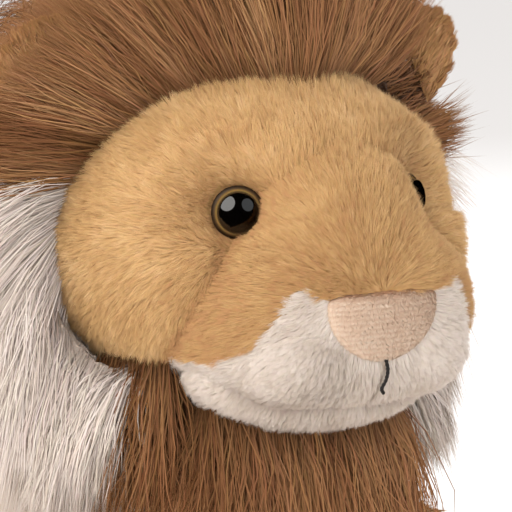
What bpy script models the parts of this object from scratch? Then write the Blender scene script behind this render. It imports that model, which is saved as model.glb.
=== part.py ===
"""A stuffed toy lion that lies on its belly with its head raised and its forelegs stretched out.

The lion faces -Y, its left side is +X and it rests on the plane Z = 0. Lengths are in metres.
The sewn and filled pieces swell and taper along a spine. Every piece is its own closed solid,
and pieces that touch keep one small gap.
"""

import math

import bmesh
import bpy
from mathutils import Matrix, Vector

# Clearances
GAP = 0.0003
TURN_GAP = 0.0004
NORMAL_LOSS_SHARE = 0.97
FLAT_DEPTH = 0.0005

# Facets
CAP_RINGS = 3
HEAD_CAP_RINGS = 5
BODY_CAP_RINGS = 4
HAUNCH_CAP_RINGS = 4
NAPE_CAP_RINGS = 4
PATH_STEPS = 24
SHORT_MIDDLE_SHARE = 0.01
HEAD_AROUND = 30
MUZZLE_AROUND = 20
MUZZLE_RINGS = 3
PAD_AROUND = 12
PAD_RINGS = 4
CHIN_AROUND = 12
CHIN_RINGS = 4
NOSE_AROUND = 18
NOSE_RINGS = 2
STITCH_AROUND = 8
STITCH_RINGS = 4
EAR_AROUND = 16
EAR_RINGS = 2
NAPE_AROUND = 20
BODY_RINGS = 3
FORELEG_RINGS = 5
HIND_FOOT_RINGS = 2
TAIL_RINGS = 9
TUFT_RINGS = 3
SOCKET_AROUND = 20
SOCKET_RINGS = 12

# Head ball, whose middle every piece of the face is placed from
HEAD_HALF_WIDTH = 0.060
HEAD_HALF_HEIGHT = 0.047
HEAD_FRONT = 0.052
HEAD_BACK = 0.055
HEAD_FORWARD = 0.095
HEAD_HEIGHT = 0.173
HEAD_ROUNDNESS = 2.45
HEAD_SIZE_SHARES = (0.92, 1.0, 0.96)

# Eyes, each a dome on a ribbed shank that a washer locks inside the head
EYE_SPREAD = 0.0325
EYE_RISE = 0.007
EYE_FORWARD = 0.0345
EYE_YAW = math.radians(28)
EYE_RING_RADIUS = 0.0076
EYE_RING_HEIGHT = 0.0013
EYE_DOME_RADIUS = 0.0064
EYE_DOME_HEIGHT = 0.0050
EYE_RIM_FOOT_SHARE = 0.94
EYE_RIM_TOP_SHARE = 0.96
SOCKET_DEPTH = 0.0115
SOCKET_REACH = 0.016
SOCKET_MOUTH = 0.010
SHANK_RADIUS = 0.0024
SHANK_LENGTH = 0.0150
SHANK_RIB_HEIGHT = 0.0004
SHANK_RIBS = 4
SHANK_TIP_SHARE = 0.6
SHANK_RIB_START_SHARE = 0.9
SHANK_RIB_PITCH_SHARE = 0.12
SHANK_RIB_SLOPE_SHARE = 0.7
WASHER_RADIUS = 0.0080
WASHER_THICKNESS = 0.0012
WASHER_DEPTH = 0.0075
WASHER_DISH = 0.0014
WASHER_EDGE_SHARE = 0.93
EYE_AROUND = 24
DOME_STEPS = 4

# Muzzle under the golden bridge of the nose
MUZZLE_HALF_WIDTH = 0.044
MUZZLE_HALF_HEIGHT = 0.024
MUZZLE_BACK = 0.004
MUZZLE_LENGTH = 0.053
MUZZLE_DROP = 0.012
MUZZLE_SLOPE = 0.019
MUZZLE_ROUNDNESS = 2.3
MUZZLE_FORWARD_SHARES = (0.0, 0.42, 0.80, 1.0)
MUZZLE_WIDTH_SHARES = (0.90, 1.0, 0.86, 0.66)
MUZZLE_HEIGHT_SHARES = (1.0, 0.92, 0.75, 0.50)
MUZZLE_DROP_SHARES = (0.0, 0.35, 0.72, 1.0)
MUZZLE_CAPS = (0.020, 0.011)

# White lip pads, a left and a right one
PAD_BACK = 0.020
PAD_LENGTH = 0.037
PAD_SPREAD = 0.039
PAD_DROP = 0.043
PAD_HALF_HEIGHT = 0.0155
PAD_HALF_DEPTH = 0.0115
PAD_SPREAD_SHARES = (1.0, 0.92, 0.50, -0.15)
PAD_FORWARD_SHARES = (0.0, 0.52, 1.0, 1.03)
PAD_DROP_SHARES = (1.07, 1.07, 0.97, 0.95)
PAD_HEIGHT_SHARES = (0.45, 0.62, 0.98, 0.90)
PAD_DEPTH_SHARES = (0.75, 1.0, 0.62, 0.50)
PAD_CAPS = (0.008, 0.006)

# Chin, a white roll under the pads
CHIN_HALF_SPREAD = 0.034
CHIN_BACK = 0.027
CHIN_FORWARD = 0.045
CHIN_DROP = 0.0545
CHIN_HALF_HEIGHT = 0.0095
CHIN_HALF_DEPTH = 0.0110
CHIN_LIFT = 0.0045
CHIN_SIDES = (-1.0, -0.5, 0.0, 0.5, 1.0)
CHIN_DEPTH_SHARES = (0.6, 0.9, 1.0, 0.9, 0.6)
CHIN_HEIGHT_SHARES = (0.6, 0.85, 1.0, 0.85, 0.6)
CHIN_CAPS = (0.010, 0.010)

# Nose patch, a shield with a nearly straight top edge
NOSE_HALF_WIDTH = 0.0200
NOSE_HEIGHT = 0.0215
NOSE_TOP_DROP = 0.0185
NOSE_FORWARD = 0.0600
NOSE_HALF_DEPTH = 0.0075
NOSE_ROUNDNESS = 2.2
NOSE_DROP_SHARES = (0.0, 0.33, 0.67, 1.0)
NOSE_WIDTH_SHARES = (0.98, 1.0, 0.88, 0.56)
NOSE_DEPTH_SHARES = (0.80, 0.95, 1.0, 0.80)
NOSE_CAPS = (0.0030, 0.0055)

# Mouth stitch, a thread in the groove between the pads
STITCH_RADIUS = 0.0006
STITCH_TOP_DROP = 0.0395
STITCH_LENGTH = 0.0125
STITCH_FORWARD = 0.0615
STITCH_LEAN = 0.0030
STITCH_SHARES = (0.0, 0.5, 1.0)

# Ears
EAR_ANGLE = math.radians(60)
EAR_LEAN = math.radians(48)
EAR_ROOT_RADIUS = 0.062
EAR_BACK = 0.010
EAR_LENGTH = 0.040
EAR_HALF_WIDTH = 0.0175
EAR_HALF_THICKNESS = 0.0050
EAR_DISH = 0.0030
EAR_TURN = math.radians(18)
EAR_WIDTH_SHARES = (0.80, 1.0, 1.0)
EAR_DISH_LIMIT_SHARE = 0.8
EAR_DISH_MIDDLE_SHARE = 0.6
EAR_CAPS = (0.008, 0.018)

# Mane, a ring of long pile panels round the face, with sizes at every 30 degrees from the top down
MANE_RADIUS = 0.110
MANE_INNER_RADIUS = 0.032
MANE_RISE = 0.004
MANE_FRONT = 0.052
MANE_BACK = 0.044
MANE_LEAN = 0.014
MANE_STEP = math.radians(30)
MANE_RADIUS_SHARES = (0.88, 0.80, 0.74, 0.82, 0.88, 0.93, 1.0)
MANE_FRONT_SHARES = (0.48, 0.41, 0.22, -0.08, 0.08, 0.60, 0.95)
MANE_BACK_SHARES = (1.0, 1.0, 0.95, 0.85, 0.55, 0.20, 0.10)
MANE_LEAN_SHARES = (1.0, 0.9, 0.6, 0.4, 0.1, 0.0, 0.0)
MANE_ROUNDNESS = 2.4
MANE_AROUND = 12
MANE_FACET = math.radians(14)
MANE_SPLIT = 0.030
CROWN_END = math.radians(42)
RUFF_START = math.radians(86)
RUFF_END = math.radians(141)

# Back of the mane over the nape
NAPE_HALF_WIDTH = 0.086
NAPE_HALF_HEIGHT = 0.067
NAPE_FRONT = 0.045
NAPE_DEPTH = 0.052
NAPE_RISE = 0.022
NAPE_ROUNDNESS = 2.2

# Neck, a filled collar that the head turns on
NECK_FORWARD = 0.075
NECK_RADIUS = 0.036
NECK_TOP_RADIUS = 0.026
NECK_FOOT = 0.080
NECK_TOP = 0.141
NECK_AROUND = 32
NECK_DOME_STEPS = 3

# Body
BODY_FRONT = 0.128
BODY_LENGTH = 0.295
BODY_HALF_WIDTH = 0.066
BODY_HALF_HEIGHT = 0.0625
BODY_ROUNDNESS = 2.3
BODY_WIDTH_SHARES = (0.82, 0.865, 0.94, 1.0, 0.98)
BODY_HEIGHT_SHARES = (0.97, 0.98, 0.96, 1.0, 0.99)
BODY_CAPS = (0.052, 0.085)
BODY_AROUND = 26
CHEST_SWEEP = 0.0020
CHEST_SHOULDER_SHARE = 0.62
CHEST_ROUNDNESS = 0.8

# Limbs
LIMB_AROUND = 14
LIMB_ROUNDNESS = 2.2

# Forelegs, which lie on the ground and swing outward about their sewn rear ends
FORELEG_REAR = 0.036
FORELEG_LENGTH = 0.180
FORELEG_HALF_WIDTH = 0.028
FORELEG_HALF_HEIGHT = 0.038
FORELEG_SPREAD = 0.070
FORELEG_SPREAD_SHARES = (1.0, 0.99, 0.84, 0.74, 0.72)
FORELEG_WIDTH_SHARES = (0.80, 0.90, 0.78, 0.92, 0.98)
FORELEG_HEIGHT_SHARES = (0.92, 1.0, 0.66, 0.62, 0.68)
FORELEG_CAPS = (0.026, 0.026)
FORELEG_AXIS_BEHIND = 0.003

# Haunches and hind feet
HAUNCH_REAR = 0.148
HAUNCH_LENGTH = 0.110
HAUNCH_HALF_WIDTH = 0.030
HAUNCH_HALF_HEIGHT = 0.050
HAUNCH_SPREAD = 0.066
HIND_FOOT_REAR = 0.118
HIND_FOOT_LENGTH = 0.115
HIND_FOOT_HALF_WIDTH = 0.0215
HIND_FOOT_HALF_HEIGHT = 0.0200
HIND_FOOT_SPREAD = 0.086
HIND_FOOT_WIDTH_SHARES = (0.85, 0.92, 1.0)
HIND_FOOT_HEIGHT_SHARES = (0.90, 0.86, 1.0)
HIND_FOOT_CAPS = (0.020, 0.020)

# Tail, a tube that leaves the rump, comes down to the ground and curls to the left
TAIL_RADIUS = 0.0115
TAIL_ROOT_BACK = 0.163
TAIL_ROOT_HEIGHT = 0.032
TAIL_STRAIGHT = 0.024
TAIL_FALL_LENGTH = 0.050
TAIL_BEND_RADIUS = 0.052
TAIL_LENGTH = 0.125
TAIL_POINTS = 12
TAIL_AROUND = 12
TAIL_SOCKET_GAP = 0.0010
TUFT_RADIUS = 0.021
TUFT_LENGTH = 0.072
TUFT_WIDTH_SHARES = (0.58, 1.0, 0.95, 0.45)
TUFT_CAPS = (0.012, 0.020)
TUFT_OVERLAP = 0.010

# Colours
GOLD = (0.62, 0.41, 0.19)
BROWN = (0.24, 0.13, 0.055)
WHITE = (0.80, 0.72, 0.64)
NOSE_PINK = (0.61, 0.41, 0.27)
THREAD = (0.03, 0.022, 0.018)
AMBER = (0.12, 0.05, 0.012)
WASHER_WHITE = (0.75, 0.75, 0.73)
PILE_ROUGHNESS = 0.95
VELOUR_ROUGHNESS = 0.85
PLASTIC_ROUGHNESS = 0.08
WASHER_ROUGHNESS = 0.4


def clear_scene():
    """Remove what a new scene holds."""
    for item in list(bpy.data.objects):
        bpy.data.objects.remove(item, do_unlink=True)


def make_material(name, colour, roughness):
    """A plain material with one colour and one roughness."""
    material = bpy.data.materials.new(name)
    material.use_nodes = True
    shader = material.node_tree.nodes["Principled BSDF"]
    shader.inputs["Base Color"].default_value = (*colour, 1.0)
    shader.inputs["Roughness"].default_value = roughness
    shader.inputs["Metallic"].default_value = 0.0
    material.diffuse_color = (*colour, 1.0)
    return material


def make_object(name, points, faces):
    """A mesh object of triangles from points and faces, with its faces turned outward."""
    mesh = bpy.data.meshes.new(name)
    mesh.from_pydata([tuple(point) for point in points], [], faces)
    work = bmesh.new()
    work.from_mesh(mesh)
    bmesh.ops.recalc_face_normals(work, faces=work.faces)
    bmesh.ops.triangulate(work, faces=work.faces)
    work.to_mesh(mesh)
    work.free()
    item = bpy.data.objects.new(name, mesh)
    bpy.context.scene.collection.objects.link(item)
    return item


def dress(item, material, angle=math.radians(50)):
    """Give a piece its material and smooth shading."""
    item.data.materials.clear()
    item.data.materials.append(material)
    item.data.shade_smooth()
    item.data.set_sharp_from_angle(angle=angle)
    return item


def curve_through(values, place):
    """The value at a place from 0 to 1 on a smooth curve through evenly spaced values."""
    count = len(values) - 1
    spot = min(max(place, 0.0), 1.0) * count
    index = min(int(spot), count - 1)
    share = spot - index
    before = values[max(index - 1, 0)]
    start = values[index]
    end = values[index + 1]
    after = values[min(index + 2, count)]
    rise = (end - before) * 0.5
    fall = (after - start) * 0.5
    cubed = share**3
    squared = share**2
    return (
        start * (2 * cubed - 3 * squared + 1)
        + rise * (cubed - 2 * squared + share)
        + end * (3 * squared - 2 * cubed)
        + fall * (cubed - squared)
    )


def oval_points(around, roundness):
    """Points of a unit oval whose corners fill out as the roundness number grows over 2."""
    points = []
    for index in range(around):
        angle = math.tau * (index + 0.5) / around
        across = math.copysign(abs(math.cos(angle)) ** (2 / roundness), math.cos(angle))
        upward = math.copysign(abs(math.sin(angle)) ** (2 / roundness), math.sin(angle))
        points.append((across, upward))
    return points


def resting_height(half_height, around, roundness=2.0):
    """How high a form's middle line lies for its lowest facet to reach just under the ground."""
    lowest = max(upward for _, upward in oval_points(around, roundness))
    return half_height * lowest - FLAT_DEPTH


def closed_loft(name, rings, first_tip=None, last_tip=None):
    """A closed solid over rings of points, ended by a tip or by a flat cap."""
    points = []
    faces = []
    around = len(rings[0])
    for ring in rings:
        points.extend(ring)
    for row in range(len(rings) - 1):
        for index in range(around):
            following = (index + 1) % around
            low = row * around
            high = low + around
            faces.append((low + index, low + following, high + following, high + index))
    for ring_index, tip in ((0, first_tip), (len(rings) - 1, last_tip)):
        base = ring_index * around
        if tip is None:
            faces.append(tuple(range(base, base + around)))
            continue
        points.append(tip)
        for index in range(around):
            faces.append((base + index, base + (index + 1) % around, len(points) - 1))
    return make_object(name, points, faces)


def swell(
    name, spine, half_widths, half_heights, caps, rings, around,
    roundness=2.0, width_axis=None, cap_rings=CAP_RINGS,
):
    """A stuffed form that swells and tapers along a spine and closes round at both ends."""
    steps = PATH_STEPS * (len(spine) - 1)
    path = [curve_through(spine, index / steps) for index in range(steps + 1)]
    lengths = [0.0]
    for start, end in zip(path, path[1:]):
        lengths.append(lengths[-1] + (end - start).length)
    total = lengths[-1]
    first_cap = min(caps[0], total * 0.5)
    last_cap = min(caps[1], total * 0.5)

    stations = []
    for index in range(1, cap_rings + 1):
        angle = math.pi / 2 * index / cap_rings
        stations.append((first_cap * (1 - math.cos(angle)), math.sin(angle)))
    for index in range(1, rings + 1):
        stations.append((first_cap + (total - first_cap - last_cap) * index / (rings + 1), 1.0))
    for index in range(cap_rings, 0, -1):
        angle = math.pi / 2 * index / cap_rings
        stations.append((total - last_cap * (1 - math.cos(angle)), math.sin(angle)))
    if total - first_cap - last_cap < total * SHORT_MIDDLE_SHARE:
        stations.pop(cap_rings - 1)

    oval = oval_points(around, roundness)
    loops = []
    for length, fullness in stations:
        index = max(at for at, reached in enumerate(lengths) if reached <= length)
        index = min(index, len(path) - 2)
        share = (length - lengths[index]) / (lengths[index + 1] - lengths[index])
        middle = path[index].lerp(path[index + 1], share)
        place = (index + share) / steps
        tangent = (path[index + 1] - path[index]).normalized()
        sideways = Vector(width_axis) if width_axis else tangent.cross(Vector((0, 0, 1)))
        sideways = (sideways - tangent * sideways.dot(tangent)).normalized()
        upward = sideways.cross(tangent).normalized()
        width = curve_through(half_widths, place) * fullness
        height = curve_through(half_heights, place) * fullness
        loops.append([middle + sideways * (x * width) + upward * (y * height) for x, y in oval])
    return closed_loft(name, loops, path[0], path[-1])


def revolved(name, profile, around, origin, direction):
    """A solid turned from (radius, height) points that start and end on the axis."""
    turn = Vector((0, 0, 1)).rotation_difference(Vector(direction)).to_matrix()
    loops = []
    for radius, height in profile[1:-1]:
        loop = []
        for index in range(around):
            angle = math.tau * index / around
            spot = Vector((radius * math.cos(angle), radius * math.sin(angle), height))
            loop.append(turn @ spot + origin)
        loops.append(loop)
    first = turn @ Vector((0, 0, profile[0][1])) + origin
    last = turn @ Vector((0, 0, profile[-1][1])) + origin
    return closed_loft(name, loops, first, last)


def grown(item, clearance):
    """A hidden copy of a form, grown by a clearance, to cut other pieces with."""
    mesh = item.data.copy()
    normals = [vertex.normal.copy() for vertex in mesh.vertices]
    for vertex, normal in zip(mesh.vertices, normals):
        vertex.co += normal * (clearance / NORMAL_LOSS_SHARE)
    cutter = bpy.data.objects.new(item.name + "_cutter", mesh)
    bpy.context.scene.collection.objects.link(cutter)
    return hide(cutter)


def join(item, other):
    """Unite another form with this one."""
    modifier = item.modifiers.new("Join " + other.name, "BOOLEAN")
    modifier.operation = "UNION"
    modifier.solver = "EXACT"
    modifier.object = other
    return item


def hide(cutter):
    """Keep a cutter out of the render."""
    cutter.hide_render = True
    cutter.display_type = "WIRE"
    return cutter


def cut(item, *cutters):
    """Take each cutter away from a piece."""
    for cutter in cutters:
        modifier = item.modifiers.new("Cut " + cutter.name, "BOOLEAN")
        modifier.operation = "DIFFERENCE"
        modifier.solver = "EXACT"
        modifier.object = cutter
    return item


def trim(item, point, direction):
    """Slice a piece by a plane and close it, keeping the side that lies against the direction."""
    work = bmesh.new()
    work.from_mesh(item.data)
    everything = list(work.verts) + list(work.edges) + list(work.faces)
    result = bmesh.ops.bisect_plane(
        work, geom=everything, plane_co=point, plane_no=direction, clear_outer=True
    )
    rim = [part for part in result["geom_cut"] if isinstance(part, bmesh.types.BMEdge)]
    if rim:
        bmesh.ops.contextual_create(work, geom=rim)
    bmesh.ops.recalc_face_normals(work, faces=work.faces)
    work.to_mesh(item.data)
    work.free()
    return item


def rest_flat(item):
    """Cut a form flat where it rests on the ground."""
    return trim(item, Vector((0, 0, 0)), Vector((0, 0, -1)))


def from_head(across, forward, rise):
    """A place measured from the middle of the head ball."""
    return Vector((across, -HEAD_FORWARD - forward, HEAD_HEIGHT + rise))


def from_eye_line(across, forward, drop):
    """A place measured forward from the head's middle and down from the eyes."""
    return from_head(across, forward, EYE_RISE - drop)


# The places of the eyes, the neck axis and the hinges
def eye_place(side):
    return from_head(side * EYE_SPREAD, EYE_FORWARD, EYE_RISE)


def eye_direction(side):
    return Vector((side * math.sin(EYE_YAW), -math.cos(EYE_YAW), 0))


def foreleg_axis(side):
    return Vector((side * FORELEG_SPREAD, -FORELEG_REAR + FORELEG_AXIS_BEHIND, 0))


def tail_root():
    return Vector((0, TAIL_ROOT_BACK, TAIL_ROOT_HEIGHT))


# Body and neck
def build_body():
    spine = []
    heights = [BODY_HALF_HEIGHT * share for share in BODY_HEIGHT_SHARES]
    for index, height in enumerate(heights):
        share = index / (len(heights) - 1)
        middle = resting_height(height, BODY_AROUND, BODY_ROUNDNESS)
        spine.append(Vector((0, -BODY_FRONT + BODY_LENGTH * share, middle)))
    widths = [BODY_HALF_WIDTH * share for share in BODY_WIDTH_SHARES]
    item = swell(
        "body", spine, widths, heights, BODY_CAPS, BODY_RINGS, BODY_AROUND,
        BODY_ROUNDNESS, cap_rings=BODY_CAP_RINGS,
    )
    cutter = grown(item, GAP)
    return rest_flat(item), cutter


def build_neck():
    """A collar turned about the axis on which the head turns, domed at the top."""
    profile = [(0, NECK_FOOT), (NECK_RADIUS, NECK_FOOT)]
    rim = NECK_TOP - (NECK_RADIUS - NECK_TOP_RADIUS)
    for index in range(NECK_DOME_STEPS + 1):
        angle = math.pi / 2 * index / NECK_DOME_STEPS
        radius = NECK_TOP_RADIUS + (NECK_RADIUS - NECK_TOP_RADIUS) * math.cos(angle)
        profile.append((radius, rim + (NECK_TOP - rim) * math.sin(angle)))
    profile.append((0, NECK_TOP))
    origin = Vector((0, -NECK_FORWARD, 0))
    item = revolved("neck", profile, NECK_AROUND, origin, (0, 0, 1))
    return item, grown(item, TURN_GAP)


def build_chest_sweep():
    """The round space about the neck axis that the chest fills, which the turning pieces clear."""
    radius = BODY_HALF_WIDTH * BODY_WIDTH_SHARES[1] + CHEST_SWEEP
    top = 2 * BODY_HALF_HEIGHT - FLAT_DEPTH
    shoulder = top * CHEST_SHOULDER_SHARE
    profile = [(0, -CHEST_SWEEP), (radius, -CHEST_SWEEP), (radius, shoulder)]
    for index in range(1, NECK_DOME_STEPS + 1):
        angle = math.pi / 2 * index / (NECK_DOME_STEPS + 1)
        reach = radius * math.cos(angle) ** CHEST_ROUNDNESS
        profile.append((reach, shoulder + (top - shoulder) * math.sin(angle)))
    profile.append((0, top + CHEST_SWEEP))
    origin = Vector((0, -NECK_FORWARD, 0))
    return hide(revolved("chest_sweep", profile, NECK_AROUND, origin, (0, 0, 1)))


# Head and face
def build_head():
    spine = [from_head(0, -HEAD_BACK, 0), from_head(0, 0, 0), from_head(0, HEAD_FRONT, 0)]
    widths = [HEAD_HALF_WIDTH * share for share in HEAD_SIZE_SHARES]
    heights = [HEAD_HALF_HEIGHT * share for share in HEAD_SIZE_SHARES]
    caps = (HEAD_BACK, HEAD_FRONT)
    item = swell(
        "head", spine, widths, heights, caps, 0, HEAD_AROUND, HEAD_ROUNDNESS, cap_rings=HEAD_CAP_RINGS
    )
    for side in (-1, 1):
        press_socket(item, eye_place(side), eye_direction(side))
    item.data.update()
    return item


def press_socket(item, centre, direction):
    """Draw the face in round an eye, as the thread or the shank of the eye does."""
    for vertex in item.data.vertices:
        distance = (vertex.co - centre).length
        depth = SOCKET_DEPTH * math.exp(-((distance / SOCKET_REACH) ** 2))
        vertex.co -= direction * depth


def build_muzzle():
    spine = []
    for share, drop in zip(MUZZLE_FORWARD_SHARES, MUZZLE_DROP_SHARES):
        forward = MUZZLE_BACK + MUZZLE_LENGTH * share
        spine.append(from_eye_line(0, forward, MUZZLE_DROP + MUZZLE_SLOPE * drop))
    widths = [MUZZLE_HALF_WIDTH * share for share in MUZZLE_WIDTH_SHARES]
    heights = [MUZZLE_HALF_HEIGHT * share for share in MUZZLE_HEIGHT_SHARES]
    return swell(
        "muzzle", spine, widths, heights, MUZZLE_CAPS, MUZZLE_RINGS, MUZZLE_AROUND, MUZZLE_ROUNDNESS
    )


def build_pad(name, side):
    spine = []
    rows = zip(PAD_SPREAD_SHARES, PAD_FORWARD_SHARES, PAD_DROP_SHARES)
    for spread, forward, drop in rows:
        place = from_eye_line(
            side * PAD_SPREAD * spread, PAD_BACK + PAD_LENGTH * forward, PAD_DROP * drop
        )
        spine.append(place)
    depths = [PAD_HALF_DEPTH * share for share in PAD_DEPTH_SHARES]
    heights = [PAD_HALF_HEIGHT * share for share in PAD_HEIGHT_SHARES]
    item = swell(name, spine, depths, heights, PAD_CAPS, PAD_RINGS, PAD_AROUND)
    cutter = grown(item, GAP)
    half_groove = STITCH_RADIUS + GAP
    return trim(item, Vector((side * half_groove, 0, 0)), Vector((-side, 0, 0))), cutter


def build_chin():
    side_drop = CHIN_DROP - CHIN_LIFT
    spine = []
    for side in CHIN_SIDES:
        forward = CHIN_FORWARD + (CHIN_BACK - CHIN_FORWARD) * side * side
        drop = CHIN_DROP + (side_drop - CHIN_DROP) * side * side
        spine.append(from_eye_line(CHIN_HALF_SPREAD * side, forward, drop))
    depths = [CHIN_HALF_DEPTH * share for share in CHIN_DEPTH_SHARES]
    heights = [CHIN_HALF_HEIGHT * share for share in CHIN_HEIGHT_SHARES]
    return swell("chin", spine, depths, heights, CHIN_CAPS, CHIN_RINGS, CHIN_AROUND)


def build_nose():
    spine = []
    for share in NOSE_DROP_SHARES:
        spine.append(from_eye_line(0, NOSE_FORWARD, NOSE_TOP_DROP + NOSE_HEIGHT * share))
    widths = [NOSE_HALF_WIDTH * share for share in NOSE_WIDTH_SHARES]
    depths = [NOSE_HALF_DEPTH * share for share in NOSE_DEPTH_SHARES]
    return swell(
        "nose", spine, widths, depths, NOSE_CAPS, NOSE_RINGS, NOSE_AROUND,
        NOSE_ROUNDNESS, width_axis=(1, 0, 0),
    )


def build_stitch():
    spine = []
    for share in STITCH_SHARES:
        forward = STITCH_FORWARD - STITCH_LEAN * share * share
        spine.append(from_eye_line(0, forward, STITCH_TOP_DROP + STITCH_LENGTH * share))
    radii = [STITCH_RADIUS] * len(spine)
    caps = (STITCH_RADIUS, STITCH_RADIUS)
    return swell(
        "mouth_stitch", spine, radii, radii, caps, STITCH_RINGS, STITCH_AROUND, width_axis=(1, 0, 0)
    )


def dome_profile():
    """Iris rim and dome of an eye, from behind the rim to the top of the dome."""
    profile = [(EYE_RING_RADIUS * EYE_RIM_FOOT_SHARE, -EYE_RING_HEIGHT)]
    profile.append((EYE_RING_RADIUS, -EYE_RING_HEIGHT / 2))
    profile.append((EYE_RING_RADIUS * EYE_RIM_TOP_SHARE, 0))
    foot = EYE_RING_HEIGHT / 2
    for index in range(DOME_STEPS):
        angle = math.pi / 2 * index / DOME_STEPS
        profile.append((EYE_DOME_RADIUS * math.cos(angle), foot + EYE_DOME_HEIGHT * math.sin(angle)))
    profile.append((0, foot + EYE_DOME_HEIGHT))
    return profile


def build_eye(name, side):
    """An eye with a shank whose ribs hold the washer."""
    tip = SHANK_RADIUS * SHANK_TIP_SHARE
    profile = [(0, -SHANK_LENGTH), (tip, -SHANK_LENGTH)]
    pitch = SHANK_LENGTH * SHANK_RIB_PITCH_SHARE
    for index in range(SHANK_RIBS):
        foot = -SHANK_LENGTH * SHANK_RIB_START_SHARE + pitch * index
        profile.append((SHANK_RADIUS + SHANK_RIB_HEIGHT, foot))
        profile.append((SHANK_RADIUS, foot + pitch * SHANK_RIB_SLOPE_SHARE))
    profile.append((SHANK_RADIUS, -EYE_RING_HEIGHT))
    profile.extend(dome_profile())
    return revolved(name, profile, EYE_AROUND, eye_place(side), eye_direction(side))


def washer_edges(clearance):
    """The outer points of a washer: under its rim, at its rim and over its rim."""
    inner = -WASHER_DEPTH + WASHER_DISH
    rim = WASHER_RADIUS + clearance
    return [
        (rim * WASHER_EDGE_SHARE, inner - WASHER_THICKNESS - clearance),
        (rim, inner - WASHER_THICKNESS / 2),
        (rim * WASHER_EDGE_SHARE, inner + clearance),
    ]


def build_washer(name, side):
    """A dished ring with a rounded rim, closed on the ribs of the shank."""
    bore = SHANK_RADIUS + SHANK_RIB_HEIGHT + GAP
    profile = [(bore, -WASHER_DEPTH - WASHER_THICKNESS), *washer_edges(0.0), (bore, -WASHER_DEPTH)]
    return build_ring(name, profile, side)


def build_eye_pocket(side):
    """The hollow in the face for one eye, its shank and its washer."""
    bore = SHANK_RADIUS + SHANK_RIB_HEIGHT + GAP
    profile = [(0, -SHANK_LENGTH - GAP), (bore, -SHANK_LENGTH - GAP)]
    profile.append((bore, -WASHER_DEPTH - WASHER_THICKNESS - GAP))
    profile.extend(washer_edges(GAP))
    profile.append((bore, -WASHER_DEPTH + GAP))
    profile.append((bore, -EYE_RING_HEIGHT - GAP))
    profile.append((EYE_RING_RADIUS + GAP, -EYE_RING_HEIGHT - GAP))
    profile.append((EYE_RING_RADIUS + GAP, SOCKET_MOUTH))
    profile.append((0, SOCKET_MOUTH))
    pocket = revolved(f"eye_pocket_{side}", profile, EYE_AROUND, eye_place(side), eye_direction(side))
    return hide(pocket)


def build_ring(name, profile, side):
    """A turned ring whose profile closes on itself, on the axis of an eye."""
    turn = Vector((0, 0, 1)).rotation_difference(eye_direction(side)).to_matrix()
    points = []
    faces = []
    count = len(profile)
    for index in range(EYE_AROUND):
        angle = math.tau * index / EYE_AROUND
        for radius, height in profile:
            spot = Vector((radius * math.cos(angle), radius * math.sin(angle), height))
            points.append(turn @ spot + eye_place(side))
    for index in range(EYE_AROUND):
        here = index * count
        there = (index + 1) % EYE_AROUND * count
        for step in range(count):
            following = (step + 1) % count
            faces.append((here + step, here + following, there + following, there + step))
    return make_object(name, points, faces)


def build_ear(name, side):
    """A round ear with a dished front, leaning outward."""
    angle = side * EAR_ANGLE
    lean = side * EAR_LEAN
    root = from_head(EAR_ROOT_RADIUS * math.sin(angle), -EAR_BACK, EAR_ROOT_RADIUS * math.cos(angle))
    growth = Vector((math.sin(lean), 0, math.cos(lean)))
    facing = Vector((side * math.sin(EAR_TURN), -math.cos(EAR_TURN), 0))
    facing = (facing - growth * facing.dot(growth)).normalized()
    across = facing.cross(growth)
    spine = [root, root + growth * (EAR_LENGTH / 2), root + growth * EAR_LENGTH]
    widths = [EAR_HALF_WIDTH * share for share in EAR_WIDTH_SHARES]
    depths = [EAR_HALF_THICKNESS] * len(spine)
    item = swell(name, spine, widths, depths, EAR_CAPS, EAR_RINGS, EAR_AROUND, width_axis=across)
    middle = root + growth * (EAR_LENGTH * EAR_DISH_MIDDLE_SHARE)
    for vertex in item.data.vertices:
        offset = vertex.co - middle
        front = offset.dot(facing)
        if front <= 0:
            continue
        reach = (offset - facing * front).length / EAR_HALF_WIDTH
        dish = min(EAR_DISH * 2 * max(0.0, 1 - reach * reach), front * EAR_DISH_LIMIT_SHARE)
        vertex.co -= facing * dish
    item.data.update()
    return item


# Mane
def mane_size(size, shares, angle):
    """A mane size at an angle down from the top of the head."""
    return size * curve_through(shares, abs(angle) / (MANE_STEP * (len(shares) - 1)))


def build_mane_arc(name, start, end):
    """A panel of the mane ring between two angles down from the top of the head."""
    inset = GAP / 2 / HEAD_HALF_HEIGHT
    steps = max(3, round(abs(end - start) / MANE_FACET))
    oval = oval_points(MANE_AROUND, MANE_ROUNDNESS)
    loops = []
    for index in range(steps + 1):
        angle = start + inset + (end - start - 2 * inset) * index / steps
        outer = mane_size(MANE_RADIUS, MANE_RADIUS_SHARES, angle)
        front = mane_size(MANE_FRONT, MANE_FRONT_SHARES, angle)
        back = -mane_size(MANE_BACK, MANE_BACK_SHARES, angle)
        lean = mane_size(MANE_LEAN, MANE_LEAN_SHARES, angle)
        middle = (outer + MANE_INNER_RADIUS) / 2
        half = (outer - MANE_INNER_RADIUS) / 2
        loop = []
        for x, y in oval:
            radius = middle + half * x
            forward = (front + back) / 2 + (front - back) / 2 * y - lean * (x + 1) / 2
            rise = MANE_RISE + radius * math.cos(angle)
            loop.append(from_head(radius * math.sin(angle), forward, rise))
        loops.append(loop)
    item = closed_loft(name, loops)
    return trim(item, from_head(0, -MANE_SPLIT + GAP / 2, 0), Vector((0, 1, 0)))


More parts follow.
